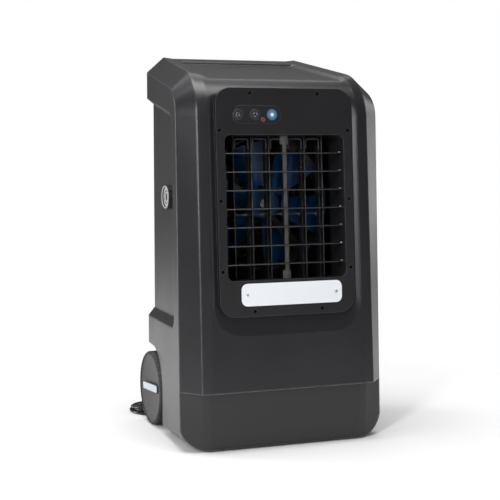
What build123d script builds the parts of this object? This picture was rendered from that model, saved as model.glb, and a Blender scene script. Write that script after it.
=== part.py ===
"""Portable evaporative cooler, as an assembly of separate sub-parts.

Millimetres. +Z is up, the air outlet faces -Y and the wheels are at the back.
The origin is on the floor, under the middle of the object's box.
"""
from build123d import *
from math import atan, cos, pi, radians, sin, sqrt, tan
import os

os.makedirs("parts", exist_ok=True)

# ---------------------------------------------------------------- driving sizes
HEIGHT = 947.0            # floor to the rear top edge
WIDTH = 520.0             # across the side planes, at the front chamfers
BODY_DEPTH = 423.0        # foremost line of the front to the rear face
WHEEL_RADIUS = 95.0
WHEEL_WIDTH = 38.0
WHEEL_SETBACK = 362.0     # foremost line of the front to the axle
WALL = 4.0                # moulded wall of the housing
SIDE_TAPER = 0.0915       # each side comes in by this much per mm towards the rear
LEAN = 0.0716             # the front leans back by this much per mm of height
ROOF_SLOPE = 0.1786       # the roof falls by this much per mm towards the front
FLOOR_GAP = 4.0           # housing's underside above the floor
LEDGE_Z = 143.0           # underside of the overhanging front
BASE_SETBACK = 26.0       # the base's front, behind the foremost line
MOVE_GAP = 0.5            # between pieces that move past each other
RUN_FIT = 0.05            # radial clearance of a pin in its hole

FRONT = -(WHEEL_SETBACK + WHEEL_RADIUS) / 2   # Y of the foremost line
REAR = FRONT + BODY_DEPTH
WHEEL_Y = FRONT + WHEEL_SETBACK

# housing, front corner and roof
CHAMFER_WIDTH = 45.0      # across, from the side plane to the crease
CHAMFER_BACK = 55.0       # side plane's front border behind the foremost line
BORDER_LEAN = 0.045       # lean of that border
BORDER_DROP = 40.0        # the roof's side border below its crease
BORDER_RADIUS = 70.0
CHEEK_WIDTH = 25.0        # from the crease in to the recess
CHEEK_CROWN = 5.0         # the crease behind the cheek's inner edge
CREASE_RADIUS = 120.0     # front top rounding at the crease
CHEEK_RADIUS = 105.0      # and at the cheek's inner edge
CHEEK_DROP = 3.0          # the cheek's inner edge below the crease, on the roof
BASE_CROWN = 4.0
BASE_CREASE_IN = 7.0      # the base's crease inside the upper one
BASE_CORNER_RADIUS = 65.0

# front recess, which runs up and over the roof
RECESS_DEPTH = 8.0
RECESS_WALL = 14.0        # width of its sloping side wall
RECESS_BOTTOM_Z = 275.0
RECESS_BOTTOM_WALL = 42.5
RECESS_CORNER = 72.0
ROOF_FLOOR_DROP = 10.0    # the roof's middle below its creases
ROOF_RADIUS = 62.0        # front top rounding between the cheeks
RAIL_WIDTH = 61.0         # depth of the raised rail at the rear of the roof
RAIL_SLOPE = 6.0
SPLIT_MARGIN = 6.0        # the recess's flat part ends this far below the front top rounding

# side recesses
SIDE_RECESS = 17.0
SIDE_RECESS_FRONT = 109.0       # behind the foremost line, at the bottom
SIDE_RECESS_FRONT_TOP = 124.0
SIDE_RECESS_BOTTOM = 287.0
SIDE_RECESS_TOP = 795.0
SIDE_RECESS_RADIUS = 40.0
SIDE_RECESS_BOTTOM_DROP = 10.0  # its lower edge falls by this much to the rear
SIDE_WALL_TOP = 12.0            # width of its sloping walls
SIDE_WALL_BOTTOM = 21.0
SIDE_WALL_FRONT = 12.0

# wheel arches
ARCH_GAP = 15.0
ARCH_INNER = 196.0        # half width of the body between the wheels

# front panel and louvre
PANEL_GAP = 2.5           # between the panel and the recess wall
PANEL_TOP_DROP = 21.0     # the panel's top edge below the roof's front corner
PANEL_CORNER = 38.0
PANEL_SKIN = 4.0
PANEL_RIM = 7.0
OUTLET_BORDER = 21.0      # panel left at each side of the outlet
OUTLET_BOTTOM_Z = 405.0
OUTLET_TOP_Z = 747.0
OUTLET_CORNER = 16.0
SCREW_HEAD_RADIUS = 4.2
SCREW_RADIUS = 2.0
SCREW_HEAD = 2.2
SCREW_LENGTH = 15.0
SCREW_BORDER = 9.0        # side screws inside the panel's edge
SCREW_END_BORDER = 12.5   # top and bottom screws inside the panel's edge
SCREW_SIDE_Z = [757.5, 592.5, 427.5]

FRAME_WALL = 3.0
FRAME_DEPTH = 92.0        # the louvre frame, behind the panel's face
BLADE_COUNT = 7
BLADE_PITCH = 43.6
BLADE_TOP_Z = 703.0
BLADE_CHORD = 30.0
BLADE_THICKNESS = 3.0
BLADE_SETBACK = 21.0      # blade pivots behind the panel's face
BLADE_PIN_RADIUS = 2.5
BLADE_PIN_LENGTH = 2.6
LINK_SIZE = 5.0
TIE_INSET = 12.0          # the tie bar's middle inside the outlet's left edge
POST_X = 14.0             # fixed post between blades and vanes
POST_WIDTH = 8.0
POST_FRONT = 37.5         # behind the panel's face
POST_DEPTH = 6.0
POST_FOOT = 20.0          # width and height of its feet
VANE_COUNT = 6
VANE_CHORD = 40.0
VANE_THICKNESS = 2.4
VANE_SETBACK = 66.0       # vane pivots behind the panel's face
VANE_PIN_RADIUS = 2.5
VANE_PIN_LENGTH = 2.6
GANG_Z = 560.0            # height of the bar that joins the vanes
GANG_SIZE = 4.0

# controls
CONTROL_X = -70.5
CONTROL_DROP = 63.0       # the controls' middle below the panel's top edge
CONTROL_WIDTH = 124.0
CONTROL_HEIGHT = 44.0
CONTROL_PROUD = 1.0
CONTROL_THICKNESS = 2.5
BUTTON_PITCH = 42.6
BUTTON_RADIUS = 13.0
BUTTON_GAP = 0.4
BUTTON_PROUD = 2.2
BUTTON_TRAVEL = 2.5
BUTTON_LENGTH = 13.0
LED_X = -55.5
LED_DROP = 11.0           # the lamp below the controls' middle
LED_RADIUS = 3.0
CONTROL_BOX_DEPTH = 34.0
CONTROL_BOX_WALL = 2.5
CONTROL_BOX_MARGIN = 9.0
BOARD_THICKNESS = 1.6

# blank name plate
PLATE_X = 9.0
PLATE_Z = 371.5
PLATE_WIDTH = 258.0
PLATE_HEIGHT = 53.0
PLATE_CORNER = 15.0
PLATE_THICKNESS = 2.0
RIVET_SPACING = 229.0
RIVET_RADIUS = 3.2

# fan, motor and shroud
FAN_Z = 578.0
FAN_FRONT = 174.0         # hub's front behind the foremost line
FAN_RADIUS = 157.0
FAN_TIP_GAP = 6.0
FAN_BLADES = 6
FAN_DEPTH = 52.0
HUB_RADIUS = 40.0
HUB_DEPTH = 48.0
HUB_WALL = 3.0
SHAFT_RADIUS = 6.0
SHAFT_NUT_RADIUS = 9.0
SHROUD_WALL = 4.0
SHROUD_DEPTH = 66.0
SHROUD_BOTTOM_Z = 352.0
SHROUD_TOP_Z = 853.0
MOTOR_RADIUS = 58.0
MOTOR_LENGTH = 82.0
MOTOR_GAP = 8.0
STRUT_COUNT = 4
STRUT_WIDTH = 22.0
STRUT_THICKNESS = 4.0
STRUT_RING = 10.0

# pad, rear grille and water
REAR_BORDER = 35.0        # rear wall left at each side of the opening
REAR_OPEN_BOTTOM = 329.0
REAR_OPEN_TOP = 807.0
REAR_OPEN_CORNER = 14.0
GRILLE_LIP = 12.0
GRILLE_PROUD = 3.0
GRILLE_WALL = 3.0
GRILLE_DEPTH = 64.0
SLAT_COUNT = 22
SLAT_THICKNESS = 2.2
SLAT_DEPTH = 10.0
MULLIONS = 3
PAD_THICKNESS = 45.0
CHANNEL_HEIGHT = 20.0
CHANNEL_WIDTH = 34.0
CHANNEL_WALL = 2.5
PUMP_X = -110.0
PUMP_BACK = 300.0
PUMP_RADIUS = 34.0
PUMP_HEIGHT = 74.0
HOSE_RADIUS = 6.0
HOSE_BORE = 4.0
HOSE_BEND = 26.0
HANDLE_WIDTH = 230.0
HANDLE_HEIGHT = 34.0
HANDLE_DEPTH = 30.0
HANDLE_DROP = 56.0        # the handle pocket's middle below the top edge

# water inlet in the left side, and float valve
INLET_BACK = 204.0
INLET_Z = 596.0
INLET_RADIUS = 30.5
INLET_LENGTH = 17.0
INLET_BORE = 14.0
INLET_MOUTH = 24.0
INLET_WASHER = 3.0
NECK_RADIUS = 20.0
NECK_LENGTH = 30.0
RIB_COUNT = 18
RIB_RADIUS = 2.2
VALVE_Z = 207.0
FLOAT_RADIUS = 24.0
FLOAT_ARM = 92.0
FLOAT_ARM_RADIUS = 2.5

# drain, wheels, foot
DRAIN_Z = 36.0
DRAIN_RADIUS = 12.0
DRAIN_CAP_RADIUS = 19.0
DRAIN_CAP_LENGTH = 14.0
DRAIN_LENGTH = 22.0
AXLE_RADIUS = 8.0
AXLE_INNER = 150.0
BOSS_RADIUS = 20.0
WHEEL_OUTER = 245.0
TYRE_THICKNESS = 9.0
TYRE_ROUND = 7.0
DISC_DISH = 9.0
BADGE_WIDTH = 120.0
BADGE_HEIGHT = 17.5
BADGE_THICKNESS = 1.6
BADGE_TURN = -4.5
BADGE_BACK = 10.0         # the badge's middle behind the axle
FOOT_WIDTH = 300.0
FOOT_DEPTH = 32.0
FOOT_BACK = 36.0

# power cord
CORD_RADIUS = 3.5
GLAND_X = -60.0
GLAND_Z = 269.0
GLAND_RADIUS = 13.0
GLAND_FLANGE = 5.0
RELIEF_LENGTH = 30.0
COIL_X = -182.0
COIL_BACK = 512.0         # coil's middle behind the foremost line
COIL_OUTER = 77.0
COIL_INNER = 50.0
COIL_HEIGHT = 15.0
PLUG_LENGTH = 34.0
PLUG_WIDTH = 26.0
PLUG_HEIGHT = 24.0
PLUG_NOSE = 16.0
PRONG_LENGTH = 17.0
PRONG_SPACING = 12.7

# ---------------------------------------------------------------- shared shapes
HALF = WIDTH / 2
CREASE = HALF - CHAMFER_WIDTH
CHEEK = CREASE - CHEEK_WIDTH
TAPER_Y = FRONT + CHAMFER_BACK + 20   # the half widths hold at this Y
FAR = 80.0                            # how far cutting solids pass the surface


def meet(y0, slope_y, z0, slope_z):
    """Corner of the line y = y0 + slope_y z with the line z = z0 + slope_z y."""
    z = (z0 + slope_z * y0) / (1 - slope_z * slope_y)
    return y0 + slope_y * z, z


ROOF_CORNER_Z = meet(FRONT - LEAN * LEDGE_Z, LEAN, HEIGHT - CHEEK_DROP - ROOF_SLOPE * REAR,
                     ROOF_SLOPE)[1]
ROOF_TURN = pi / 2 - atan(LEAN) - atan(ROOF_SLOPE)     # the front bends this far into the roof
RECESS_SPLIT_Z = ROOF_CORNER_Z - CHEEK_RADIUS * tan(ROOF_TURN / 2) - SPLIT_MARGIN
PANEL_TOP_Z = ROOF_CORNER_Z - PANEL_TOP_DROP
PANEL_WIDTH = 2 * (CHEEK - RECESS_WALL - PANEL_GAP)
PANEL_BOTTOM_Z = RECESS_BOTTOM_Z + RECESS_BOTTOM_WALL + PANEL_GAP
CONTROL_Z = PANEL_TOP_Z - CONTROL_DROP
LED_Z = CONTROL_Z - LED_DROP
OUTLET_WIDTH = PANEL_WIDTH - 2 * OUTLET_BORDER
SCREW_PLACES = [(PANEL_WIDTH / 2 - SCREW_BORDER, z) for z in SCREW_SIDE_Z]
SCREW_PLACES += [(PANEL_WIDTH / 4, z) for z in (PANEL_BOTTOM_Z + SCREW_END_BORDER,
                                                PANEL_TOP_Z - SCREW_END_BORDER)]
VANE_PITCH = OUTLET_WIDTH / (VANE_COUNT + 0.63)
HANDLE_Z = HEIGHT - HANDLE_DROP


def panel_y(z, depth=0.0):
    """Y of the leaning front face at a height, or of a layer this far behind it."""
    return FRONT + LEAN * (z - LEDGE_Z) + depth


def half_width(y, at=HALF):
    """Half width of a tapering side plane at a given Y."""
    return at - SIDE_TAPER * (y - TAPER_Y)


def front_plane(x=0.0, z=0.0, depth=0.0):
    """Plane in the front face: X across, Y up the face, Z out of it."""
    normal = Vector(0, -1, LEAN).normalized()
    return Plane(origin=Vector(x, panel_y(z), z) - normal * depth, x_dir=(1, 0, 0), z_dir=normal)


def side_plane(x):
    """Plane of a tapering side, X towards the rear and Y up, at a half width."""
    sign = 1 if x > 0 else -1
    along = Vector(-sign * SIDE_TAPER, 1, 0).normalized()
    return Plane(origin=(x, TAPER_Y, 0), x_dir=along, z_dir=along.cross(Vector(0, 0, 1)))


def side_wire(x, points, radii):
    """Closed wire on a tapering side plane, from (Y, Z) points with corner radii."""
    plane = side_plane(x)
    stretch = sqrt(1 + SIDE_TAPER**2)
    corners = [plane.from_local_coords(((y - TAPER_Y) * stretch, z, 0)) for y, z in points]
    return FilletPolyline(*corners, radius=radii, close=True).wire()


def outer_wire(x, front_y, lean, drop, radius, inset=0.0):
    """Side outline of the upper body at one width."""
    roof = HEIGHT - drop - inset - ROOF_SLOPE * REAR
    start = front_y + inset
    bottom = LEDGE_Z + inset
    corner = meet(start - lean * LEDGE_Z, lean, roof, ROOF_SLOPE)
    rear = REAR - inset
    points = [(start + lean * (bottom - LEDGE_Z), bottom), corner,
              (rear, roof + ROOF_SLOPE * rear), (rear, bottom)]
    return side_wire(x, points, [0, max(radius - inset, 20), 0, 0])


def base_wire(x, back, inset, lean=0.0):
    """Side outline of the set back base at one width."""
    bottom, top = FLOOR_GAP + inset, LEDGE_Z + inset
    start = FRONT + back + inset
    points = [(start + lean * (bottom - LEDGE_Z), bottom), (start + lean * inset, top),
              (REAR - inset, top), (REAR - inset, bottom)]
    return side_wire(x, points, [0, 0, 0, 0])


def mirrored_loft(sections):
    """Ruled solid through the (half width, wire maker) sections and their mirror images."""
    wires = [make(-x) for x, make in sections]
    wires += [make(x) for x, make in reversed(sections)]
    return Solid.make_loft(wires, ruled=True)


def body_solid(inset=0.0):
    """The body's outside, or a smaller copy of it for its hollow."""
    turn = inset * tan(pi / 8)
    border = (HALF - inset, lambda x: outer_wire(
        x, FRONT + CHAMFER_BACK, BORDER_LEAN, BORDER_DROP, BORDER_RADIUS, inset))
    crease = (CREASE - turn, lambda x: outer_wire(
        x, FRONT + CHEEK_CROWN, LEAN, 0, CREASE_RADIUS, inset))
    cheek = (CHEEK - turn, lambda x: outer_wire(
        x, FRONT, LEAN, CHEEK_DROP, CHEEK_RADIUS, inset))
    upper = mirrored_loft([border, crease, cheek])
    low_border = (HALF - inset, lambda x: base_wire(x, CHAMFER_BACK, inset, BORDER_LEAN))
    low_crease = (CREASE - BASE_CREASE_IN - turn, lambda x: base_wire(
        x, BASE_SETBACK + BASE_CROWN, inset))
    low_cheek = (CHEEK - turn, lambda x: base_wire(x, BASE_SETBACK, inset))
    lower = mirrored_loft([low_border, low_crease, low_cheek])
    corner = BASE_CORNER_RADIUS - inset
    outline = Plane.XZ * Pos(0, (HEIGHT + FLOOR_GAP + inset) / 2 + 50) * RectangleRounded(
        WIDTH + 8 - 2 * inset, HEIGHT - FLOOR_GAP - inset + 100, corner)
    rounded = extrude(outline, amount=BODY_DEPTH, both=True)
    return (Part() + upper + lower) & rounded


def recess_cutter(grow=0.0):
    """What the front and roof recess takes away; grown, what its wall needs."""
    depth = RECESS_DEPTH + grow
    side = grow * 0.9
    outer_half, inner_half = CHEEK + side, CHEEK - RECESS_WALL + side
    lift = 0.2 - grow
    bottom_out = RECESS_BOTTOM_Z - side
    bottom_in = RECESS_BOTTOM_Z + RECESS_BOTTOM_WALL - side
    top = RECESS_SPLIT_Z
    overlap = 2 * LEAN * depth     # so that the two cutters leave no fin between them
    wires = []
    for level, half, bottom, radius in ((-FAR, outer_half, bottom_out, RECESS_CORNER),
                                        (-lift, outer_half, bottom_out, RECESS_CORNER),
                                        (depth, inner_half, bottom_in, RECESS_CORNER - 25)):
        plane = front_plane(0, top, level)
        run = (top - bottom) * sqrt(1 + LEAN**2)
        points = [plane.from_local_coords((x, y, 0)) for x, y in
                  ((-half, overlap), (-half, -run), (half, -run), (half, overlap))]
        wires.append(FilletPolyline(*points, radius=[0, radius, radius, 0], close=True).wire())
    flat = Solid.make_loft(wires, ruled=True)

    taper_shift = SIDE_TAPER * (panel_y(top) - TAPER_Y)
    rail_y = REAR - RAIL_WIDTH + grow

    def over_roof(x, behind, drop, radius):
        start = panel_y(top, behind)
        roof = HEIGHT - drop - ROOF_SLOPE * REAR
        corner = meet(start - LEAN * top, LEAN, roof, ROOF_SLOPE)
        rail_z = roof + ROOF_SLOPE * rail_y
        above = HEIGHT + FAR
        points = [(start, top), corner, (rail_y, rail_z),
                  (rail_y + RAIL_SLOPE, above), (start - FAR, above), (start - FAR, top)]
        return side_wire(x, points, [0, radius, 0, 0, 0, 0])

    shallow = (outer_half + taper_shift, lambda x: over_roof(
        x, -lift, CHEEK_DROP - lift, CHEEK_RADIUS))
    deep = (inner_half + taper_shift, lambda x: over_roof(
        x, depth, ROOF_FLOOR_DROP + grow, ROOF_RADIUS - grow))
    return Part() + flat + mirrored_loft([shallow, deep])


def side_recess_cutter(sign, grow=0.0):
    """One side's recess, open to the rear, with sloping walls."""
    def outline(x, inset):
        front = FRONT + SIDE_RECESS_FRONT - grow + inset * SIDE_WALL_FRONT
        front_top = FRONT + SIDE_RECESS_FRONT_TOP - grow + inset * SIDE_WALL_FRONT
        bottom = SIDE_RECESS_BOTTOM - grow + inset * SIDE_WALL_BOTTOM
        top = SIDE_RECESS_TOP + grow - inset * SIDE_WALL_TOP
        end = REAR + FAR
        fall = SIDE_RECESS_BOTTOM_DROP / (REAR - front)
        rise = ROOF_SLOPE * 0.85
        points = [(front, bottom), (front_top, top), (end, top + rise * (end - front_top)),
                  (end, bottom - fall * (end - front))]
        return side_wire(x, points, [SIDE_RECESS_RADIUS * 0.7, SIDE_RECESS_RADIUS, 0, 0])

    depth = SIDE_RECESS + grow
    over = 1.0 / SIDE_RECESS
    wires = [outline(sign * (HALF + 1), -over),
             outline(sign * (HALF - depth), depth / SIDE_RECESS)]
    return Part() + Solid.make_loft(wires, ruled=True)


def save(name, shape):
    """Write one sub-part; every sub-part is one node."""
    solids = shape.solids() if hasattr(shape, "solids") else [s for p in shape for s in p.solids()]
    export_step(Compound(solids) if len(solids) > 1 else solids[0], f"parts/{name}.step")


def face_block(width, bottom_z, top_z, radius, near, far, x=0.0):
    """Rounded block square to the front face, between two depths behind it."""
    middle = (bottom_z + top_z) / 2
    height = (top_z - bottom_z) * sqrt(1 + LEAN**2)
    plane = front_plane(x, middle, far)
    return extrude(plane * RectangleRounded(width, height, radius), amount=far - near)


def face_pin(x, z, radius, near, far):
    """Round pin square to the front face, between two depths behind it."""
    return extrude(front_plane(x, z, far) * Circle(radius), amount=far - near)


def along_x(x0, x1, y, z, radius):
    return Pos((x0 + x1) / 2, y, z) * Rot(0, 90, 0) * Cylinder(radius, abs(x1 - x0))


def along_y(x, y0, y1, z, radius):
    return Pos(x, (y0 + y1) / 2, z) * Rot(90, 0, 0) * Cylinder(radius, abs(y1 - y0))


def block(x0, x1, y0, y1, z0, z1):
    return Pos((x0 + x1) / 2, (y0 + y1) / 2, (z0 + z1) / 2) * Box(x1 - x0, y1 - y0, z1 - z0)


def rear_block(width, bottom_z, top_z, radius, y0, y1):
    """Rounded block square to the rear face."""
    outline = Plane.XZ * Pos(0, (bottom_z + top_z) / 2) * RectangleRounded(
        width, top_z - bottom_z, radius)
    return Pos(0, y1, 0) * extrude(outline, amount=y1 - y0)


# ---------------------------------------------------------------- housing
FRAME_OUT = OUTLET_WIDTH + 2 * FRAME_WALL
OPEN_WIDTH = FRAME_OUT + 2 * 1.5
OPEN_BOTTOM = PANEL_BOTTOM_Z + 22
OPEN_TOP = PANEL_TOP_Z - 25
REAR_OPEN_WIDTH = 2 * (half_width(REAR) - SIDE_RECESS - REAR_BORDER)
OUTSIDE = body_solid() - recess_cutter() - side_recess_cutter(1) - side_recess_cutter(-1)


def arch_cutter(sign, grow=0.0):
    """Room for one wheel, open to the side, the rear and the floor."""
    radius = WHEEL_RADIUS + ARCH_GAP + grow
    inner, outer = ARCH_INNER - grow, HALF + FAR
    x0, x1 = (inner, outer) if sign > 0 else (-outer, -inner)
    round_part = along_x(x0, x1, WHEEL_Y, WHEEL_RADIUS, radius)
    below = block(x0, x1, WHEEL_Y - radius, REAR + FAR, -FAR, WHEEL_RADIUS)
    behind = block(x0, x1, WHEEL_Y, REAR + FAR, -FAR, WHEEL_RADIUS + radius)
    return round_part + below + behind


def hollow_solid():
    """The space inside the housing's wall."""
    space = body_solid(WALL) - recess_cutter(WALL)
    for sign in (1, -1):
        space = space - side_recess_cutter(sign, WALL) - arch_cutter(sign, WALL)
    pocket = rear_block(HANDLE_WIDTH + 2 * WALL, HANDLE_Z - HANDLE_HEIGHT / 2 - WALL,
                        HANDLE_Z + HANDLE_HEIGHT / 2 + WALL, HANDLE_HEIGHT / 2 + WALL - 0.1,
                        REAR - HANDLE_DEPTH - WALL, REAR)
    bosses = [along_x(sign * AXLE_INNER, sign * ARCH_INNER, WHEEL_Y, WHEEL_RADIUS, BOSS_RADIUS)
              for sign in (1, -1)]
    return space - pocket - bosses[0] - bosses[1]


HOLLOW = hollow_solid()


def housing():
    shell = OUTSIDE - HOLLOW
    shell -= arch_cutter(1) + arch_cutter(-1)
    shell -= face_block(OPEN_WIDTH, OPEN_BOTTOM, OPEN_TOP, PANEL_CORNER - 20, -20, 60)
    shell -= rear_block(REAR_OPEN_WIDTH, REAR_OPEN_BOTTOM, REAR_OPEN_TOP, REAR_OPEN_CORNER,
                        REAR - 30, REAR + 10)
    shell -= rear_block(HANDLE_WIDTH, HANDLE_Z - HANDLE_HEIGHT / 2, HANDLE_Z + HANDLE_HEIGHT / 2,
                        HANDLE_HEIGHT / 2 - 0.1, REAR - HANDLE_DEPTH, REAR + 10)
    for sign in (1, -1):
        shell -= along_x(sign * (AXLE_INNER - 1), sign * (ARCH_INNER + 1), WHEEL_Y, WHEEL_RADIUS,
                         AXLE_RADIUS)
    shell -= along_y(0, REAR - 20, REAR + 10, DRAIN_Z, DRAIN_RADIUS + RUN_FIT)
    shell -= along_y(GLAND_X, REAR - 20, REAR + 10, GLAND_Z, GLAND_RADIUS - 3)
    inlet_y = FRONT + INLET_BACK
    shell -= along_x(-HALF - 10, -HALF + 60, inlet_y, INLET_Z, NECK_RADIUS)
    for x, z in SCREW_PLACES:
        for side in (x, -x):
            shell -= face_pin(side, z, SCREW_RADIUS, 0, SCREW_HEAD + SCREW_LENGTH + 8)
    return shell


housing_solid = housing()
save("housing", housing_solid)

# ---------------------------------------------------------------- front panel
def front_panel():
    """Flat face with a rim and screw bosses that stand on the recess floor."""
    panel = face_block(PANEL_WIDTH, PANEL_BOTTOM_Z, PANEL_TOP_Z, PANEL_CORNER, 0, 60)
    panel -= face_block(PANEL_WIDTH - 2 * PANEL_RIM, PANEL_BOTTOM_Z + PANEL_RIM,
                        PANEL_TOP_Z - PANEL_RIM, PANEL_CORNER - PANEL_RIM, PANEL_SKIN, 70)
    for x, z in SCREW_PLACES:
        for side in (x, -x):
            panel += face_pin(side, z, SCREW_HEAD_RADIUS + 2.5, PANEL_SKIN - 1, 60)
    panel -= OUTSIDE
    panel -= face_block(OUTLET_WIDTH, OUTLET_BOTTOM_Z, OUTLET_TOP_Z, OUTLET_CORNER, -10, 80)
    for x, z in SCREW_PLACES:
        for side in (x, -x):
            panel -= face_pin(side, z, SCREW_HEAD_RADIUS + 0.3, -1, SCREW_HEAD)
            panel -= face_pin(side, z, SCREW_RADIUS, 0, 80)
    panel -= face_block(CONTROL_WIDTH, CONTROL_Z - CONTROL_HEIGHT / 2, CONTROL_Z + CONTROL_HEIGHT / 2,
                        CONTROL_HEIGHT / 2 - 0.1, -1, CONTROL_THICKNESS - CONTROL_PROUD, CONTROL_X)
    for x in BUTTON_X:
        panel -= face_pin(x, CONTROL_Z, BUTTON_RADIUS + BUTTON_GAP, -10, 20)
    panel -= face_pin(LED_X, LED_Z, LED_RADIUS, -10, 20)
    for x in RIVET_X:
        panel -= face_pin(x, PLATE_Z, RIVET_RADIUS / 2, -1, PANEL_SKIN - 1)
    return panel


BUTTON_X = [CONTROL_X + n * BUTTON_PITCH - 4.9 for n in (-1, 0, 1)]
RIVET_X = [PLATE_X - RIVET_SPACING / 2, PLATE_X + RIVET_SPACING / 2]
save("front_panel", front_panel())


def panel_screws():
    screws = []
    for x, z in SCREW_PLACES:
        for side in (x, -x):
            screw = face_pin(side, z, SCREW_HEAD_RADIUS, 0.2, SCREW_HEAD)
            screw += face_pin(side, z, SCREW_RADIUS, SCREW_HEAD, SCREW_HEAD + SCREW_LENGTH)
            slot = front_plane(side, z, SCREW_HEAD * 0.5 + 0.2) * Box(5, 1.2, SCREW_HEAD)
            cross = front_plane(side, z, SCREW_HEAD * 0.5 + 0.2) * Box(1.2, 5, SCREW_HEAD)
            screws.append(screw - Pos(0, -1, 0) * slot - Pos(0, -1, 0) * cross)
    return screws


save("panel_screws", panel_screws())


def control_plate():
    plate = face_block(CONTROL_WIDTH - 0.6, CONTROL_Z - CONTROL_HEIGHT / 2 + 0.3,
                       CONTROL_Z + CONTROL_HEIGHT / 2 - 0.3, CONTROL_HEIGHT / 2 - 0.5,
                       -CONTROL_PROUD, CONTROL_THICKNESS - CONTROL_PROUD, CONTROL_X)
    for x in BUTTON_X:
        plate -= face_pin(x, CONTROL_Z, BUTTON_RADIUS + BUTTON_GAP, -10, 20)
    return plate - face_pin(LED_X, LED_Z, LED_RADIUS, -10, 20)


save("control_plate", control_plate())

for number, x in enumerate(BUTTON_X, 1):
    cap_depth = CONTROL_PROUD + BUTTON_PROUD
    button = face_pin(x, CONTROL_Z, BUTTON_RADIUS, -cap_depth, BUTTON_LENGTH - cap_depth)
    rim = button.edges().filter_by(GeomType.CIRCLE).sort_by(Axis.Y)[0]
    save(f"button_{number}", fillet(rim, 1.2))

lens = face_pin(LED_X, LED_Z, LED_RADIUS, -CONTROL_PROUD - 0.6, PANEL_SKIN + 1)
save("led_lens", lens)


def control_box(depth=CONTROL_BOX_DEPTH):
    """Closed-back tray on the panel's inside, round the buttons and the board."""
    width = CONTROL_WIDTH + CONTROL_BOX_MARGIN
    low = CONTROL_Z - CONTROL_HEIGHT / 2 + 1
    high = CONTROL_Z + CONTROL_HEIGHT / 2 + 4
    wall = CONTROL_BOX_WALL
    tray = face_block(width, low, high, 5, PANEL_SKIN, PANEL_SKIN + depth, CONTROL_X)
    return tray - face_block(width - 2 * wall, low + wall, high - wall, 3, PANEL_SKIN,
                             PANEL_SKIN + depth - wall, CONTROL_X)


save("control_box", control_box())
board_back = PANEL_SKIN + CONTROL_BOX_DEPTH - CONTROL_BOX_WALL
board = face_block(CONTROL_WIDTH, CONTROL_Z - 16, CONTROL_Z + 18, 2,
                   board_back - BOARD_THICKNESS, board_back, CONTROL_X)
for x in BUTTON_X:
    switch_front = BUTTON_LENGTH - CONTROL_PROUD - BUTTON_PROUD + BUTTON_TRAVEL + MOVE_GAP
    board += face_pin(x, CONTROL_Z, 5, switch_front, board_back - BOARD_THICKNESS)
save("circuit_board", board)


def name_plate():
    plate = face_block(PLATE_WIDTH, PLATE_Z - PLATE_HEIGHT / 2, PLATE_Z + PLATE_HEIGHT / 2,
                       PLATE_CORNER, -PLATE_THICKNESS, 0, PLATE_X)
    for x in RIVET_X:
        plate -= face_pin(x, PLATE_Z, RIVET_RADIUS / 2, -10, 10)
    return plate


save("name_plate", name_plate())


def plate_rivets():
    rivets = []
    for x in RIVET_X:
        dome = face_pin(x, PLATE_Z, RIVET_RADIUS, -PLATE_THICKNESS - 1.2, -PLATE_THICKNESS)
        edge = dome.edges().filter_by(GeomType.CIRCLE).sort_by(Axis.Y)[0]
        dome = fillet(edge, 1.0)
        rivets.append(dome + face_pin(x, PLATE_Z, RIVET_RADIUS / 2, -PLATE_THICKNESS,
                                      PANEL_SKIN - 1))
    return rivets


save("plate_rivets", plate_rivets())

# ---------------------------------------------------------------- louvre
BLADE_LENGTH = OUTLET_WIDTH - 2 * MOVE_GAP
BLADE_Z = [BLADE_TOP_Z - n * BLADE_PITCH for n in range(BLADE_COUNT)]
TIE_REACH = BLADE_CHORD / 2 + 6.0
TIE_X = -(OUTLET_WIDTH / 2 - TIE_INSET)
VANE_X = [(n - (VANE_COUNT - 1) / 2) * VANE_PITCH for n in range(VANE_COUNT)]
OUTLET_MIDDLE = (OUTLET_BOTTOM_Z + OUTLET_TOP_Z) / 2
OUTLET_HEIGHT = (OUTLET_TOP_Z - OUTLET_BOTTOM_Z) * sqrt(1 + LEAN**2)
GANG_REACH = VANE_CHORD / 2 + 5.0


def louvre_frame():
    frame = face_block(FRAME_OUT, OUTLET_BOTTOM_Z - FRAME_WALL, OUTLET_TOP_Z + FRAME_WALL,
                       OUTLET_CORNER + FRAME_WALL, PANEL_SKIN, PANEL_SKIN + FRAME_DEPTH)
    frame -= face_block(OUTLET_WIDTH, OUTLET_BOTTOM_Z, OUTLET_TOP_Z, OUTLET_CORNER, -10, 200)
    for z in BLADE_Z:
        y = panel_y(z, BLADE_SETBACK)
        frame -= along_x(-FRAME_OUT / 2 - 1, FRAME_OUT / 2 + 1, y, z, BLADE_PIN_RADIUS + RUN_FIT)
    for x in VANE_X:
        hole = front_plane(x, OUTLET_MIDDLE, VANE_SETBACK) * Rot(90, 0, 0) * Cylinder(
            VANE_PIN_RADIUS + RUN_FIT, OUTLET_HEIGHT + 4 * FRAME_WALL)
        frame -= hole
    return frame


save("louvre_frame", louvre_frame())


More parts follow.
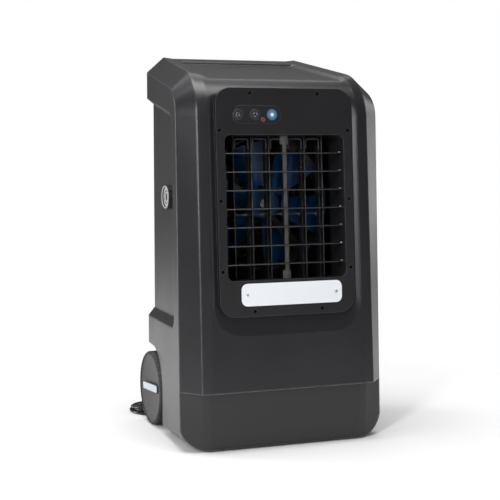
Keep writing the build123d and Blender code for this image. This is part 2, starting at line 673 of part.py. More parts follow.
def blade(z):
    """Flat blade with a round front edge, end pins and two ears for the tie bar."""
    y = panel_y(z, BLADE_SETBACK)
    section = Plane.YZ * Pos(y, z) * RectangleRounded(
        BLADE_CHORD, BLADE_THICKNESS, BLADE_THICKNESS / 2 - 0.05)
    leaf = extrude(section, amount=BLADE_LENGTH / 2, both=True)
    end = BLADE_LENGTH / 2
    for side in (1, -1):
        leaf += along_x(side * (end - 6), side * (end + BLADE_PIN_LENGTH), y, z, BLADE_PIN_RADIUS)
        ear_x = TIE_X + side * (LINK_SIZE / 2 + MOVE_GAP + 1.2)
        leaf += block(ear_x - 1.2, ear_x + 1.2, y + BLADE_CHORD / 2 - 4, y + TIE_REACH + 2.2,
                      z - 2.2, z + 2.2)
    leaf += along_x(TIE_X - LINK_SIZE / 2 - 1.5, TIE_X + LINK_SIZE / 2 + 1.5, y + TIE_REACH, z,
                    1.5)
    return leaf


for number, z in enumerate(BLADE_Z, 1):
    save(f"louvre_blade_{number}", blade(z))


def tie_bar():
    """Upright bar behind the blades, pinned to each one."""
    low = BLADE_Z[-1] - 8
    high = BLADE_Z[0] + 8
    middle = (low + high) / 2
    plane = front_plane(TIE_X, middle, BLADE_SETBACK)
    bar = plane * Box(LINK_SIZE, (high - low) * sqrt(1 + LEAN**2), LINK_SIZE + 1)
    bar = Pos(0, TIE_REACH, 0) * bar
    for z in BLADE_Z:
        bar -= along_x(TIE_X - LINK_SIZE, TIE_X + LINK_SIZE, panel_y(z, BLADE_SETBACK) + TIE_REACH,
                       z, 1.5 + RUN_FIT)
    return bar


save("louvre_tie_bar", tie_bar())


def louvre_post():
    """Fixed upright post between the blades and the vanes, with a foot at each end."""
    back = POST_FRONT + POST_DEPTH
    post = face_block(POST_WIDTH, OUTLET_BOTTOM_Z, OUTLET_TOP_Z, 0.5, POST_FRONT, back, POST_X)
    for low in (OUTLET_BOTTOM_Z, OUTLET_TOP_Z - POST_FOOT):
        post += face_block(POST_FOOT, low, low + POST_FOOT, 2, back - 2, back, POST_X)
    return post


save("louvre_post", louvre_post())


def vane(x):
    """Upright vane behind the blades, with end pins and a pin for the gang bar."""
    base = front_plane(x, OUTLET_MIDDLE, VANE_SETBACK)
    height = OUTLET_HEIGHT - 2 * MOVE_GAP
    leaf = base * Box(VANE_THICKNESS, height, VANE_CHORD)
    pin = Rot(90, 0, 0) * Cylinder(VANE_PIN_RADIUS, height + 2 * VANE_PIN_LENGTH)
    leaf += base * pin
    gang_y = (GANG_Z - OUTLET_MIDDLE) * sqrt(1 + LEAN**2)
    for side in (1, -1):
        ear_y = gang_y + side * (GANG_SIZE / 2 + MOVE_GAP + 1.2)
        reach = GANG_REACH + 2.2 - VANE_CHORD / 2 + 4
        leaf += base * Pos(0, ear_y, -GANG_REACH - 2.2 + reach / 2) * Box(4.0, 2.4, reach)
    leaf += base * Pos(0, gang_y, -GANG_REACH) * Rot(90, 0, 0) * Cylinder(1.4, GANG_SIZE + 3)
    return leaf


for number, x in enumerate(VANE_X, 1):
    save(f"air_vane_{number}", vane(x))


def gang_bar():
    """Level bar behind the vanes, pinned to each one."""
    base = front_plane(0, OUTLET_MIDDLE, VANE_SETBACK + GANG_REACH)
    gang_y = (GANG_Z - OUTLET_MIDDLE) * sqrt(1 + LEAN**2)
    length = (VANE_COUNT - 1) * VANE_PITCH + 14
    bar = base * Pos(0, gang_y, 0) * Box(length, GANG_SIZE, GANG_SIZE + 1.4)
    for x in VANE_X:
        bar -= base * Pos(x, gang_y, 0) * Rot(90, 0, 0) * Cylinder(1.4 + RUN_FIT, GANG_SIZE * 2)
    return bar


save("vane_gang_bar", gang_bar())

# ---------------------------------------------------------------- fan and motor
FAN_Y = FRONT + FAN_FRONT
RING_INNER = FAN_RADIUS + FAN_TIP_GAP
RING_BACK = FAN_Y + FAN_DEPTH + 12
PLATE_BACK = RING_BACK
MOTOR_Y = FAN_Y + HUB_DEPTH + MOTOR_GAP


def fan_blade():
    """One twisted blade along +X, with the fan's axis on Y at the origin."""
    sections = []
    for radius, chord, pitch, bow in ((HUB_RADIUS - 1, 46, 48, 5), (FAN_RADIUS * 0.62, 84, 34, 8),
                                      (FAN_RADIUS - 6, 104, 25, 9)):
        plane = Plane(origin=(radius, 0, 0), x_dir=(0, sin(radians(pitch)), cos(radians(pitch))),
                      z_dir=(1, 0, 0))
        half, thick = chord / 2, 2.6
        front = ThreePointArc(plane.from_local_coords((-half, 0, 0)),
                              plane.from_local_coords((0, bow, 0)),
                              plane.from_local_coords((half, 0, 0)))
        back = ThreePointArc(plane.from_local_coords((half, -thick, 0)),
                             plane.from_local_coords((0, bow - thick, 0)),
                             plane.from_local_coords((-half, -thick, 0)))
        ends = [Line(front @ 1, back @ 0), Line(back @ 1, front @ 0)]
        sections.append(Wire([front.edge(), ends[0].edge(), back.edge(), ends[1].edge()]))
    return Solid.make_loft(sections, ruled=False)


def fan():
    centre = Pos(0, FAN_Y + FAN_DEPTH / 2, FAN_Z)
    blades = [Rot(0, n * 360 / FAN_BLADES + 12, 0) * fan_blade() for n in range(FAN_BLADES)]
    hub = along_y(0, FAN_Y, FAN_Y + HUB_DEPTH, FAN_Z, HUB_RADIUS)
    hub = fillet(hub.edges().filter_by(GeomType.CIRCLE).sort_by(Axis.Y)[0], 5)
    hub -= along_y(0, FAN_Y + HUB_WALL + 5, FAN_Y + HUB_DEPTH + 1, FAN_Z, HUB_RADIUS - HUB_WALL)
    hub += along_y(0, FAN_Y + 2, FAN_Y + HUB_DEPTH - 4, FAN_Z, SHAFT_RADIUS + 6)
    rotor = hub
    for piece in blades:
        rotor += centre * piece
    limit = along_y(0, FAN_Y - 20, FAN_Y + FAN_DEPTH + 20, FAN_Z, FAN_RADIUS)
    inner = along_y(0, FAN_Y + HUB_WALL + 5, FAN_Y + HUB_DEPTH + 20, FAN_Z, HUB_RADIUS - HUB_WALL)
    core = along_y(0, FAN_Y + 2, FAN_Y + HUB_DEPTH - 4, FAN_Z, SHAFT_RADIUS + 6)
    rotor = (rotor & limit) - inner + core
    return rotor - along_y(0, FAN_Y - 1, FAN_Y + HUB_DEPTH + 1, FAN_Z, SHAFT_RADIUS)


save("fan", fan())


def motor_shaft():
    shaft = along_y(0, FAN_Y - 6, MOTOR_Y + MOTOR_LENGTH - 10, FAN_Z, SHAFT_RADIUS)
    nut = along_y(0, FAN_Y - 4, FAN_Y, FAN_Z, SHAFT_NUT_RADIUS)
    return shaft + nut


save("motor_shaft", motor_shaft())


def motor():
    case = along_y(0, MOTOR_Y, MOTOR_Y + MOTOR_LENGTH, FAN_Z, MOTOR_RADIUS)
    case = fillet(case.edges().filter_by(GeomType.CIRCLE), 6)
    return case - along_y(0, MOTOR_Y - 1, MOTOR_Y + MOTOR_LENGTH - 9.5, FAN_Z,
                          SHAFT_RADIUS + RUN_FIT)


save("motor", motor())


def fan_shroud():
    """Plate across the body with a round throat, moulded in one piece."""
    back = PLATE_BACK
    plate = block(-HALF, HALF, back - SHROUD_WALL, back, SHROUD_BOTTOM_Z, SHROUD_TOP_Z) & HOLLOW
    ring = along_y(0, back - SHROUD_DEPTH, back, FAN_Z, RING_INNER + SHROUD_WALL)
    return plate + ring - along_y(0, back - 200, back + 50, FAN_Z, RING_INNER)


save("fan_shroud", fan_shroud())


def motor_bracket():
    """Ring round the motor, with struts out to the shroud plate."""
    ring_out = MOTOR_RADIUS + STRUT_RING
    start = PLATE_BACK
    bracket = along_y(0, start, start + 30, FAN_Z, ring_out)
    for n in range(STRUT_COUNT):
        strut = block(0, RING_INNER + 26, start, start + STRUT_THICKNESS,
                      -STRUT_WIDTH / 2, STRUT_WIDTH / 2)
        bracket += Pos(0, 0, FAN_Z) * Rot(0, 45 + n * 360 / STRUT_COUNT, 0) * strut
    return bracket - along_y(0, start - 1, start + 60, FAN_Z, MOTOR_RADIUS)


save("motor_bracket", motor_bracket())

# ---------------------------------------------------------------- pad and rear grille
GRILLE_FIT = 1.0
TRAY_WIDTH = REAR_OPEN_WIDTH - 2 * GRILLE_FIT
TRAY_BOTTOM = REAR_OPEN_BOTTOM + GRILLE_FIT
TRAY_TOP = REAR_OPEN_TOP - GRILLE_FIT
TRAY_FRONT = REAR - GRILLE_DEPTH
PAD_BACK = REAR - 8.0
PAD_FRONT = PAD_BACK - PAD_THICKNESS


def rear_grille():
    """Slatted cover with a tray that carries the pad; it pulls out to the rear."""
    lip = rear_block(REAR_OPEN_WIDTH + 2 * GRILLE_LIP, REAR_OPEN_BOTTOM - GRILLE_LIP,
                     REAR_OPEN_TOP + GRILLE_LIP, REAR_OPEN_CORNER + GRILLE_LIP,
                     REAR, REAR + GRILLE_PROUD)
    tray = rear_block(TRAY_WIDTH, TRAY_BOTTOM, TRAY_TOP, REAR_OPEN_CORNER, TRAY_FRONT, REAR)
    inner_width = TRAY_WIDTH - 2 * GRILLE_WALL
    low, high = TRAY_BOTTOM + GRILLE_WALL, TRAY_TOP - GRILLE_WALL
    cover = lip + tray
    cover -= rear_block(inner_width, low, high, REAR_OPEN_CORNER - GRILLE_WALL,
                        TRAY_FRONT - 10, REAR + 10)
    slats = []
    pitch = (high - low) / SLAT_COUNT
    middle = REAR + GRILLE_PROUD - SLAT_DEPTH / 2 - 0.6
    for n in range(SLAT_COUNT):
        slat = Rot(-32, 0, 0) * Box(inner_width + 1, SLAT_DEPTH, SLAT_THICKNESS)
        slats.append(Pos(0, middle, low + (n + 0.5) * pitch) * slat)
    for n in range(MULLIONS):
        x = (n - (MULLIONS - 1) / 2) * inner_width / (MULLIONS + 1)
        slats.append(block(x - 2.5, x + 2.5, REAR - 7.5, REAR - 3.5, low - 1, high + 1))
        slats.append(block(x - 2, x + 2, TRAY_FRONT, TRAY_FRONT + 4, low - 1, high + 1))
    for n in range(1, 4):
        z = low + n * (high - low) / 4
        slats.append(block(-inner_width / 2 - 1, inner_width / 2 + 1, TRAY_FRONT, TRAY_FRONT + 4,
                           z - 2, z + 2))
    return cover + slats


save("rear_grille", rear_grille())
pad = block(-TRAY_WIDTH / 2 + GRILLE_WALL, TRAY_WIDTH / 2 - GRILLE_WALL, PAD_FRONT, PAD_BACK,
            TRAY_BOTTOM + GRILLE_WALL, TRAY_TOP - GRILLE_WALL)
pad = fillet(pad.edges().filter_by(Axis.Y), REAR_OPEN_CORNER - GRILLE_WALL)
save("evaporative_pad", pad)

CHANNEL_LOW = REAR_OPEN_TOP + 8.0
CHANNEL_Y = REAR - WALL - CHANNEL_WIDTH / 2 - 4
CHANNEL_LENGTH = REAR_OPEN_WIDTH - 12.0


def water_channel():
    """Trough over the pad, on brackets to the rear wall, with a row of drip holes."""
    low, high = CHANNEL_LOW, CHANNEL_LOW + CHANNEL_HEIGHT
    y0, y1 = CHANNEL_Y - CHANNEL_WIDTH / 2, CHANNEL_Y + CHANNEL_WIDTH / 2
    half = CHANNEL_LENGTH / 2
    trough = block(-half, half, y0, y1, low, high)
    trough -= block(-half + CHANNEL_WALL, half - CHANNEL_WALL, y0 + CHANNEL_WALL,
                    y1 - CHANNEL_WALL, low + CHANNEL_WALL, high + 1)
    for n in range(13):
        x = (n - 6) * CHANNEL_LENGTH / 14
        trough -= Pos(x, CHANNEL_Y, low) * Cylinder(2, 12)
    for side in (1, -1):
        trough += block(side * half * 0.6 - 8, side * half * 0.6 + 8, y1, REAR - WALL,
                        low, high - 4)
    return trough


save("water_channel", water_channel())

# ---------------------------------------------------------------- pump and hose
SUMP_FLOOR = FLOOR_GAP + WALL
PUMP_Y = FRONT + PUMP_BACK
HOSE_X = -(REAR_OPEN_WIDTH / 2 + 14.0)
HOSE_Y = PLATE_BACK + 62.0
HOSE_TOP = CHANNEL_LOW + CHANNEL_HEIGHT + 14.0


def pump():
    base = Pos(PUMP_X, PUMP_Y, SUMP_FLOOR + PUMP_HEIGHT / 2) * Cylinder(PUMP_RADIUS, PUMP_HEIGHT)
    base = fillet(base.edges().filter_by(GeomType.CIRCLE).sort_by(Axis.Z)[-1], 6)
    for n in range(8):
        turn = Pos(PUMP_X, PUMP_Y, 0) * Rot(0, 0, n * 45)
        base -= turn * Pos(PUMP_RADIUS, 0, SUMP_FLOOR + 12) * Box(8, 6, 14)
    spout = Pos(PUMP_X, PUMP_Y, SUMP_FLOOR + PUMP_HEIGHT + 7) * Cylinder(HOSE_RADIUS + 2, 14)
    bore = Pos(PUMP_X, PUMP_Y, SUMP_FLOOR + PUMP_HEIGHT + 6) * Cylinder(HOSE_BORE, 20)
    return base + spout - bore


save("pump", pump())


def tube_along(points, radii, radius, bore=0.0):
    """Round tube along straight runs joined by arcs."""
    path = FilletPolyline(*points, radius=radii).wire()
    start = path @ 0
    plane = Plane(origin=start, z_dir=path % 0)
    solid = sweep(plane * Circle(radius), path=path)
    if bore:
        solid -= sweep(plane * Circle(bore), path=path)
    return solid


hose_points = [(PUMP_X, PUMP_Y, SUMP_FLOOR + PUMP_HEIGHT + 14), (PUMP_X, PUMP_Y, 190),
               (HOSE_X, HOSE_Y, 260), (HOSE_X, HOSE_Y, HOSE_TOP),
               (HOSE_X, CHANNEL_Y, HOSE_TOP), (HOSE_X + 60, CHANNEL_Y, HOSE_TOP),
               (HOSE_X + 60, CHANNEL_Y, HOSE_TOP - 14)]
hose_bends = [HOSE_BEND, HOSE_BEND, 16.0, 16.0, 12.0]
save("pump_hose", tube_along(hose_points, hose_bends, HOSE_RADIUS, HOSE_BORE))

# ---------------------------------------------------------------- water inlet and float
INLET_Y = FRONT + INLET_BACK
INLET_WALL_X = -(half_width(INLET_Y) - SIDE_RECESS)   # recess face at the inlet
NECK_IN = INLET_WALL_X + WALL


def inlet_neck():
    """Fixed neck through the side wall, with a flange inside and a spigot for the collar."""
    outer_end = INLET_WALL_X - INLET_LENGTH + INLET_WASHER + 3
    neck = along_x(outer_end, NECK_IN + 12, INLET_Y, INLET_Z, NECK_RADIUS - 4)
    neck += along_x(INLET_WALL_X - 2.5, NECK_IN + 4, INLET_Y, INLET_Z, NECK_RADIUS)
    neck += along_x(NECK_IN + 4, NECK_IN + 8, INLET_Y, INLET_Z, NECK_RADIUS + 6)
    neck += along_x(NECK_IN + 8, NECK_IN + NECK_LENGTH, INLET_Y, INLET_Z, HOSE_RADIUS + 3)
    neck -= along_x(outer_end - 1, NECK_IN + 6, INLET_Y, INLET_Z, INLET_BORE)
    return neck - along_x(outer_end, NECK_IN + 60, INLET_Y, INLET_Z, HOSE_BORE)


save("inlet_neck", inlet_neck())


def inlet_collar():
    """Ribbed collar that turns on the neck; a garden hose screws into it."""
    face = INLET_WALL_X - INLET_LENGTH
    back = INLET_WALL_X - 2.5 - MOVE_GAP
    collar = along_x(face, back, INLET_Y, INLET_Z, INLET_RADIUS - 1)
    for n in range(RIB_COUNT):
        angle = 2 * pi * n / RIB_COUNT
        rib_y = INLET_Y + (INLET_RADIUS - RIB_RADIUS) * cos(angle)
        rib_z = INLET_Z + (INLET_RADIUS - RIB_RADIUS) * sin(angle)
        collar += along_x(face + 2, back, rib_y, rib_z, RIB_RADIUS)
    collar -= along_x(face - 1, face + 3 + INLET_WASHER + 3, INLET_Y, INLET_Z, INLET_MOUTH)
    collar -= along_x(face, back + 1, INLET_Y, INLET_Z, NECK_RADIUS - 4 + RUN_FIT)
    return collar


save("inlet_collar", inlet_collar())


def inlet_washer():
    """Pale seal ring with a strainer dome, seated in the collar's mouth."""
    face = INLET_WALL_X - INLET_LENGTH
    seat = face + 3
    ring = along_x(seat, seat + INLET_WASHER - 0.4, INLET_Y, INLET_Z, INLET_MOUTH)
    return ring - along_x(seat - 1, seat + 9, INLET_Y, INLET_Z, INLET_BORE - 4)


save("inlet_washer", inlet_washer())

VALVE_TOP = VALVE_Z + 22.0
inlet_points = [(NECK_IN + NECK_LENGTH, INLET_Y, INLET_Z),
                (NECK_IN + NECK_LENGTH + 8, INLET_Y, INLET_Z),
                (NECK_IN + NECK_LENGTH + 8, INLET_Y, VALVE_TOP)]
save("inlet_pipe", tube_along(inlet_points, [7.0], HOSE_RADIUS, HOSE_BORE))
PIVOT_X = NECK_IN + NECK_LENGTH + 8 + 14
PIVOT_Z = VALVE_Z


def float_valve():
    """Valve body on the side wall, with a fork for the float's arm."""
    pipe_x = NECK_IN + NECK_LENGTH + 8
    wall_x = -(half_width(INLET_Y) - WALL)
    body = block(pipe_x - 12, pipe_x + 8, INLET_Y - 12, INLET_Y + 12, VALVE_Z - 14, VALVE_TOP)
    body += block(wall_x, pipe_x - 10, INLET_Y - 9, INLET_Y + 9, VALVE_Z - 8, VALVE_Z + 8)
    body &= HOLLOW
    for side in (1, -1):
        body += block(pipe_x + 6, PIVOT_X + 5, INLET_Y + side * 6 - 2, INLET_Y + side * 6 + 2,
                      PIVOT_Z - 6, PIVOT_Z + 6)
    pin = along_y(PIVOT_X, INLET_Y - 9, INLET_Y + 9, PIVOT_Z, 2.0)
    return body + pin


save("float_valve", float_valve())


def float_arm():
    """Arm and ball that close the valve as the water rises."""
    arm = along_x(PIVOT_X + 3, PIVOT_X + FLOAT_ARM, INLET_Y, PIVOT_Z, FLOAT_ARM_RADIUS)
    eye = along_y(PIVOT_X, INLET_Y - 3, INLET_Y + 3, PIVOT_Z, 5)
    ball = Pos(PIVOT_X + FLOAT_ARM + FLOAT_RADIUS - 3, INLET_Y, PIVOT_Z) * Sphere(FLOAT_RADIUS)
    whole = arm + eye + ball - along_y(PIVOT_X, INLET_Y - 5, INLET_Y + 5, PIVOT_Z, 2.0 + RUN_FIT)
    return Pos(PIVOT_X, 0, PIVOT_Z) * Rot(0, 18, 0) * Pos(-PIVOT_X, 0, -PIVOT_Z) * whole


save("float_arm", float_arm())

# ---------------------------------------------------------------- drain, wheels, foot


def drain_plug():
    """Turned plug with a gripped cap, in the rear wall of the sump."""
    plug = along_y(0, REAR - DRAIN_LENGTH, REAR, DRAIN_Z, DRAIN_RADIUS)
    cap = along_y(0, REAR, REAR + DRAIN_CAP_LENGTH, DRAIN_Z, DRAIN_CAP_RADIUS)
    for n in range(10):
        angle = 2 * pi * n / 10
        cap -= along_y(DRAIN_CAP_RADIUS * cos(angle), REAR + 3, REAR + 40,
                       DRAIN_Z + DRAIN_CAP_RADIUS * sin(angle), 2.4)
    return plug + cap - along_y(0, REAR - DRAIN_LENGTH - 1, REAR + 4, DRAIN_Z, DRAIN_RADIUS - 3)


save("drain_plug", drain_plug())

DISC_RADIUS = WHEEL_RADIUS - TYRE_THICKNESS
WHEEL_INNER = WHEEL_OUTER - WHEEL_WIDTH
AXLE_OUTER = WHEEL_OUTER - 14.0


def wheel_face(radius, depth):
    """Where the dished disc's outer face lies."""
    return WHEEL_OUTER - 2 - depth * (1 - (radius / DISC_RADIUS) ** 2)


def tyre(sign):
    ring = along_x(sign * WHEEL_INNER, sign * WHEEL_OUTER, WHEEL_Y, WHEEL_RADIUS, WHEEL_RADIUS)
    ring -= along_x(sign * (WHEEL_INNER - 1), sign * (WHEEL_OUTER + 1), WHEEL_Y, WHEEL_RADIUS,
                    DISC_RADIUS)
    outer = [e for e in ring.edges().filter_by(GeomType.CIRCLE) if e.radius > DISC_RADIUS + 1]
    return fillet(outer, TYRE_ROUND)


def disc_profile():
    """Half section of the wheel disc: X outwards along the axle, Y from the axle's line."""
    face = wheel_face(0, DISC_DISH)
    with_dish = ThreePointArc((face, 0), (wheel_face(DISC_RADIUS * 0.5, DISC_DISH) - 0.2,
                                          DISC_RADIUS * 0.5), (WHEEL_OUTER - 2, DISC_RADIUS))
    hub_in = WHEEL_INNER - 2
    skin = 4.0
    bore_end = AXLE_OUTER + 1.0
    points = [(WHEEL_OUTER - 2, DISC_RADIUS), (WHEEL_INNER + 1, DISC_RADIUS),
              (WHEEL_INNER + 1, DISC_RADIUS - skin), (WHEEL_OUTER - 2 - skin - 6, DISC_RADIUS - skin),
              (face - skin - 5, AXLE_RADIUS + 10), (hub_in, AXLE_RADIUS + 10),
              (hub_in, AXLE_RADIUS + RUN_FIT), (bore_end, AXLE_RADIUS + RUN_FIT), (bore_end, 0),
              (face, 0)]
    lines = Polyline(*points)
    return make_face(Curve() + [with_dish, lines])


def wheel_disc(sign):
    section = Plane(origin=(0, WHEEL_Y, WHEEL_RADIUS), x_dir=(1, 0, 0), z_dir=(0, -1, 0)) * (
        disc_profile())
    disc = revolve(section, Axis((0, WHEEL_Y, WHEEL_RADIUS), (1, 0, 0)), 360)
    bed = badge_shape(1, 4.0) & along_x(AXLE_OUTER + 2, WHEEL_OUTER - 3 - BADGE_THICKNESS,
                                        WHEEL_Y, WHEEL_RADIUS, DISC_RADIUS - 6)
    disc += bed
    return disc if sign > 0 else mirror(disc, Plane.YZ)


def badge_shape(sign, margin=0.0):
    """Blank plate across the middle of a wheel disc."""
    outer = WHEEL_OUTER - 3
    width, height = BADGE_WIDTH + margin, BADGE_HEIGHT + margin
    depth = 12.0 if margin else BADGE_THICKNESS
    plane = Plane(origin=(outer, WHEEL_Y + BADGE_BACK, WHEEL_RADIUS), x_dir=(0, 1, 0),
                  z_dir=(1, 0, 0))
    shape = extrude(plane * Rot(0, 0, BADGE_TURN) * RectangleRounded(width, height, 4),
                    amount=-depth)
    return shape if sign > 0 else mirror(shape, Plane.YZ)


def axle(sign):
    """Stub axle with a shoulder between the housing's boss and the wheel's hub."""
    rod = along_x(sign * AXLE_INNER, sign * AXLE_OUTER, WHEEL_Y, WHEEL_RADIUS, AXLE_RADIUS)
    shoulder = along_x(sign * ARCH_INNER, sign * (WHEEL_INNER - 2 - MOVE_GAP), WHEEL_Y,
                       WHEEL_RADIUS, AXLE_RADIUS + 8)
    return rod + shoulder


for side, sign in (("left", -1), ("right", 1)):
    save(f"{side}_tyre", tyre(sign))
    save(f"{side}_wheel_disc", wheel_disc(sign))
    save(f"{side}_wheel_badge", badge_shape(sign))
    save(f"{side}_axle", axle(sign))

foot_y = FRONT + FOOT_BACK
foot = block(-FOOT_WIDTH / 2, FOOT_WIDTH / 2, foot_y, foot_y + FOOT_DEPTH, 0, FLOOR_GAP)
foot = fillet(foot.edges().filter_by(Axis.Z), 12)
save("front_foot", foot)

# ---------------------------------------------------------------- power cord


def cord_gland():
    """Flanged gland in the rear wall, below the pad."""
    gland = along_y(GLAND_X, REAR - WALL - 6, REAR + 6, GLAND_Z, GLAND_RADIUS - 3)
    gland += along_y(GLAND_X, REAR, REAR + GLAND_FLANGE, GLAND_Z, GLAND_RADIUS)
    return gland - along_y(GLAND_X, REAR - 40, REAR + 40, GLAND_Z, CORD_RADIUS)


save("cord_gland", cord_gland())
RELIEF_START = REAR + 6
relief = Pos(GLAND_X, RELIEF_START + RELIEF_LENGTH / 2, GLAND_Z) * Rot(-90, 0, 0) * Cone(
    7.0, CORD_RADIUS + 1.0, RELIEF_LENGTH)
relief -= along_y(GLAND_X, RELIEF_START - 1, RELIEF_START + 60, GLAND_Z, CORD_RADIUS)
save("strain_relief", relief)

COIL_Y = FRONT + COIL_BACK
coil = Pos(COIL_X, COIL_Y, COIL_HEIGHT / 2) * (Cylinder(COIL_OUTER, COIL_HEIGHT)
                                              - Cylinder(COIL_INNER, COIL_HEIGHT))
coil = fillet(coil.edges().filter_by(GeomType.CIRCLE), 5)
save("cord_coil", coil)

# The loose stretch: straight out of the relief, down to the floor and into the coil.
cord_points = [(-60, 195.5, 269), (-60, 262, 269), (-61, 308, 222), (-62, 320, 155),
               (-63, 318, 90), (-68, 330, 40), (-84, 350, 10), (-122, 361, 3.5),
               (-162, 358, 3.5), (-186, 354.5, 3.5)]


def bend_radii(points):
    """The largest arc that each corner's two runs allow."""
    spots = [Vector(*point) for point in points]
    radii = []
    for before, corner, after in zip(spots, spots[1:], spots[2:]):
        reach = 0.45 * min((corner - before).length, (after - corner).length)
        half_turn = radians((corner - before).get_angle(after - corner)) / 2
        radii.append(reach / tan(half_turn))
    return radii


cord_bends = bend_radii(cord_points)
print("cord radii", [round(radius, 1) for radius in cord_bends])
cord_path = FilletPolyline(*cord_points, radius=cord_bends).wire()
cord = tube_along(cord_points, cord_bends, CORD_RADIUS)
print("cord volume over section times length",
      round(cord.volume / (pi * CORD_RADIUS**2 * cord_path.length), 4),
      "length", round(cord_path.length, 1))
save("power_cord", cord)


def cord_plug():
    """Three pin plug that lies on the coil."""
    x = COIL_X + (COIL_INNER + COIL_OUTER) / 2
    z = COIL_HEIGHT + PLUG_HEIGHT / 2
    front = COIL_Y + PLUG_LENGTH / 2
    body = block(x - PLUG_WIDTH / 2, x + PLUG_WIDTH / 2, front - PLUG_LENGTH, front,
                 z - PLUG_HEIGHT / 2, z + PLUG_HEIGHT / 2)
    body = fillet(body.edges().filter_by(Axis.Y), 8)
    body = fillet(body.edges().group_by(Axis.Y)[0], 3)
    nose = Pos(x, front - PLUG_LENGTH - PLUG_NOSE / 2, z) * Rot(90, 0, 0) * Cone(
        8.5, CORD_RADIUS + 1, PLUG_NOSE)
    plug = body + nose
    for side in (1, -1):
        prong_x = x + side * PRONG_SPACING / 2
        plug += block(prong_x - 0.75, prong_x + 0.75, front - 1, front + PRONG_LENGTH,
                      z - 1, z + 5.3)
    plug += along_y(x, front - 1, front + PRONG_LENGTH + 2, z - 7, 2.4)
    return plug - along_y(x, front - PLUG_LENGTH - PLUG_NOSE - 1, front - PLUG_LENGTH + 3, z,
                          CORD_RADIUS)


save("cord_plug", cord_plug())
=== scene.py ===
# %% [markdown]
# # A portable evaporative cooler
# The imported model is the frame: every hard part already has its true shape and place. Blender adds
# the surfaces, the mains cord and the small fittings that catch the eye.

# %% Frame and tools
import bpy
import numpy as np
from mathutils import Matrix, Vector


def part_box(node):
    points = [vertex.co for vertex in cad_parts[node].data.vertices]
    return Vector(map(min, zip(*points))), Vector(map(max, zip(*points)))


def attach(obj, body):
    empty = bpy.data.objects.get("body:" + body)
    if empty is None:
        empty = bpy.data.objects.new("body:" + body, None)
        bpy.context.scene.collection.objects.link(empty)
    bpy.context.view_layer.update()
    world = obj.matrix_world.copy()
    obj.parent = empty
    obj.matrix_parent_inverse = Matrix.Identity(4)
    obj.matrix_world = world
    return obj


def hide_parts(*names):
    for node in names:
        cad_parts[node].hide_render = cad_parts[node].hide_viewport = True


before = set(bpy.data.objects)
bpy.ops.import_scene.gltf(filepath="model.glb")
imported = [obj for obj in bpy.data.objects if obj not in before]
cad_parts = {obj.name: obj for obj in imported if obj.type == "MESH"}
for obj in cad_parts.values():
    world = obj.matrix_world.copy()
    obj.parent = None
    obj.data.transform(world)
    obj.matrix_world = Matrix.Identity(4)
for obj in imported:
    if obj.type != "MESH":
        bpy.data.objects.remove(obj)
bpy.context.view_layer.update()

# %% [markdown]
# ## Camera
# The cooler is seen from its left front, a little above the louvre. A long lens keeps its sides
# nearly upright. Aiming with a direction vector is simpler than guessing three angles.

# %% Camera
LENS_MM = 88.95
EYE = Vector((-1.1304, -2.9030, 0.7415))
AIM = Vector((-0.10909, -0.23824, 0.48049))

lens = bpy.data.cameras.new("studio_camera")
lens.lens = LENS_MM
lens.sensor_width = 36
camera = bpy.data.objects.new("studio_camera", lens)
bpy.context.collection.objects.link(camera)
camera.location = EYE
camera.rotation_euler = (AIM - EYE).to_track_quat("-Z", "Y").to_euler()
bpy.context.scene.camera = camera
print("camera distance", round((AIM - EYE).length, 3))

# %% [markdown]
# ## Paper floor
# The cooler stands on a roll of pale paper. A sharp edge or a grey horizon would spoil the picture,
# so the paper fades to plain white away from the cooler. The fade is only for what the camera sees
# directly: reflections and shadows still meet real paper.

# %% Paper floor
FLOOR_REACH = 14.0
PAPER_TONE = 0.93
PAPER_ROUGHNESS = 0.9
NEAR, BEYOND = 0.50, 1.10          # the paper turns plain white between these distances

corners = [(-FLOOR_REACH, -FLOOR_REACH, 0), (FLOOR_REACH, -FLOOR_REACH, 0),
           (FLOOR_REACH, FLOOR_REACH, 0), (-FLOOR_REACH, FLOOR_REACH, 0)]
sheet = bpy.data.meshes.new("paper_floor")
sheet.from_pydata(corners, [], [(0, 1, 2, 3)])
paper = bpy.data.objects.new("paper_floor", sheet)
bpy.context.collection.objects.link(paper)

paper_look = bpy.data.materials.new("pale_paper")
paper_look.use_nodes = True
sheet.materials.append(paper_look)
tree = paper_look.node_tree
matte = tree.nodes["Principled BSDF"]
matte.inputs["Base Color"].default_value = (PAPER_TONE, PAPER_TONE, PAPER_TONE, 1)
matte.inputs["Roughness"].default_value = PAPER_ROUGHNESS
where = tree.nodes.new("ShaderNodeTexCoord")
away = tree.nodes.new("ShaderNodeVectorMath")
away.operation = "LENGTH"
tree.links.new(where.outputs["Object"], away.inputs[0])
fade = tree.nodes.new("ShaderNodeMapRange")
fade.inputs["From Min"].default_value = NEAR
fade.inputs["From Max"].default_value = BEYOND
tree.links.new(away.outputs["Value"], fade.inputs["Value"])
ray = tree.nodes.new("ShaderNodeLightPath")
shown = tree.nodes.new("ShaderNodeMath")
shown.operation = "MULTIPLY"
tree.links.new(fade.outputs[0], shown.inputs[0])
tree.links.new(ray.outputs["Is Camera Ray"], shown.inputs[1])
white = tree.nodes.new("ShaderNodeEmission")
white.inputs["Color"].default_value = (1, 1, 1, 1)
blend = tree.nodes.new("ShaderNodeMixShader")
tree.links.new(shown.outputs[0], blend.inputs[0])
tree.links.new(matte.outputs[0], blend.inputs[1])
tree.links.new(white.outputs[0], blend.inputs[2])
tree.links.new(blend.outputs[0], tree.nodes["Material Output"].inputs["Surface"])
print("paper floor", 2 * FLOOR_REACH, "m wide, plain white beyond", BEYOND)

# %% [markdown]
# ## Air
# The world is white to the camera and dim to everything else. That gives a clean background, and
# leaves the shaping of the dark plastic to the lamps.

